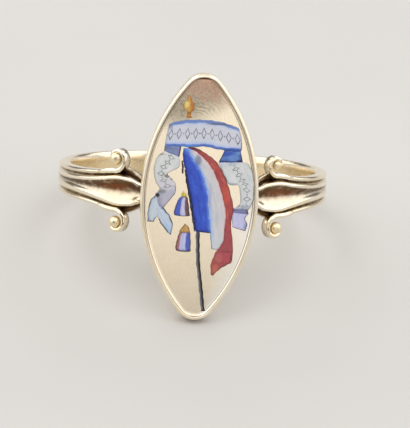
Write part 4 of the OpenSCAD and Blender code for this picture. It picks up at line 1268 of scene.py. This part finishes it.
def addToScene(name, data):
    thing = bpy.data.objects.new(name, data)
    bpy.context.scene.collection.objects.link(thing)
    return thing


def buildFloor():
    half = studio["floorSize"] / 2
    corners = [(-half, -half, 0), (half, -half, 0), (half, half, 0), (-half, half, 0)]
    mesh = bpy.data.meshes.new("floor")
    mesh.from_pydata(corners, [], [(0, 1, 2, 3)])
    addToScene("floor", mesh)
    material, tree, shader = newMaterial("paleFloor")
    darker = tuple(studio["floorPatch"] * c for c in studio["floorColour"])
    patches = ramp(tree, grain(tree, 0.02), low=0.3, high=0.7)
    tree.links.new(blendColour(tree, patches, studio["floorColour"], darker), shader.inputs["Base Color"])
    shader.inputs["Roughness"].default_value = studio["floorRough"]
    mesh.materials.append(material)


def buildLights():
    world = bpy.data.worlds.new("studioAir")
    world.use_nodes = True
    background = world.node_tree.nodes["Background"]
    background.inputs["Color"].default_value = (*studio["worldColour"], 1)
    background.inputs["Strength"].default_value = studio["worldStrength"]
    bpy.context.scene.world = world
    for name, (azimuth, elevation, away, width, tall, glow, colour) in studio["lights"].items():
        light = bpy.data.lights.new(name, "AREA")
        light.shape, light.size, light.size_y = "RECTANGLE", width, tall
        light.energy, light.color = math.pi * glow * width * tall, colour
        a, e = math.radians(azimuth), math.radians(elevation)
        way = Vector((math.sin(a) * math.cos(e), -math.cos(a) * math.cos(e), math.sin(e)))
        lamp = addToScene(name, light)
        lamp.location = (cadLow + cadHigh) / 2 + way * away
        lamp.rotation_euler = way.to_track_quat("Z", "Y").to_euler()
        lamp.visible_camera = False


# The camera is set in the ring's own frame: above the hoop's plane, a little to the left, and rolled.
# hoopAt is where the hoop's middle falls in the picture, and the camera turns to put it there
view = {"distance": 0.200, "above": 6.75, "left": 3.0, "roll": 2.6, "focalPixels": 2791,
        "hoopAt": (192.4, 179.5), "picture": (410, 428), "sensorMm": 24.0, "near": 0.01, "far": 10.0}


def buildCamera():
    e, a, roll = (math.radians(view[k]) for k in ("above", "left", "roll"))
    forward = Vector((math.sin(a) * math.cos(e), math.cos(a) * math.cos(e), -math.sin(e)))
    right = Vector((math.cos(a), -math.sin(a), 0))
    upward = right.cross(forward)
    right, upward = (math.cos(roll) * right + math.sin(roll) * upward,
                     math.cos(roll) * upward - math.sin(roll) * right)
    eye = -forward * view["distance"]
    across, down = ((view["picture"][i] / 2 - view["hoopAt"][i]) / view["focalPixels"] for i in (0, 1))
    aim = (forward + across * right - down * upward).normalized()
    right = (right - right.dot(aim) * aim).normalized()
    upward = right.cross(aim)
    turn = Matrix.Rotation(-lean, 3, "X")
    pose = (turn @ Matrix((right, upward, -aim)).transposed()).to_4x4()
    pose.translation = hoopMiddle + turn @ eye
    camera = bpy.data.cameras.new("camera")
    camera.sensor_fit, camera.sensor_height = "VERTICAL", view["sensorMm"]
    camera.lens = view["focalPixels"] / view["picture"][1] * camera.sensor_height
    camera.clip_start, camera.clip_end = view["near"], view["far"]
    cameraPiece = addToScene("camera", camera)
    cameraPiece.matrix_world = pose
    bpy.context.scene.camera = cameraPiece


buildFloor()
buildLights()
buildCamera()
bpy.context.scene.view_settings.view_transform = "Standard"
print("stage: studio and camera set")
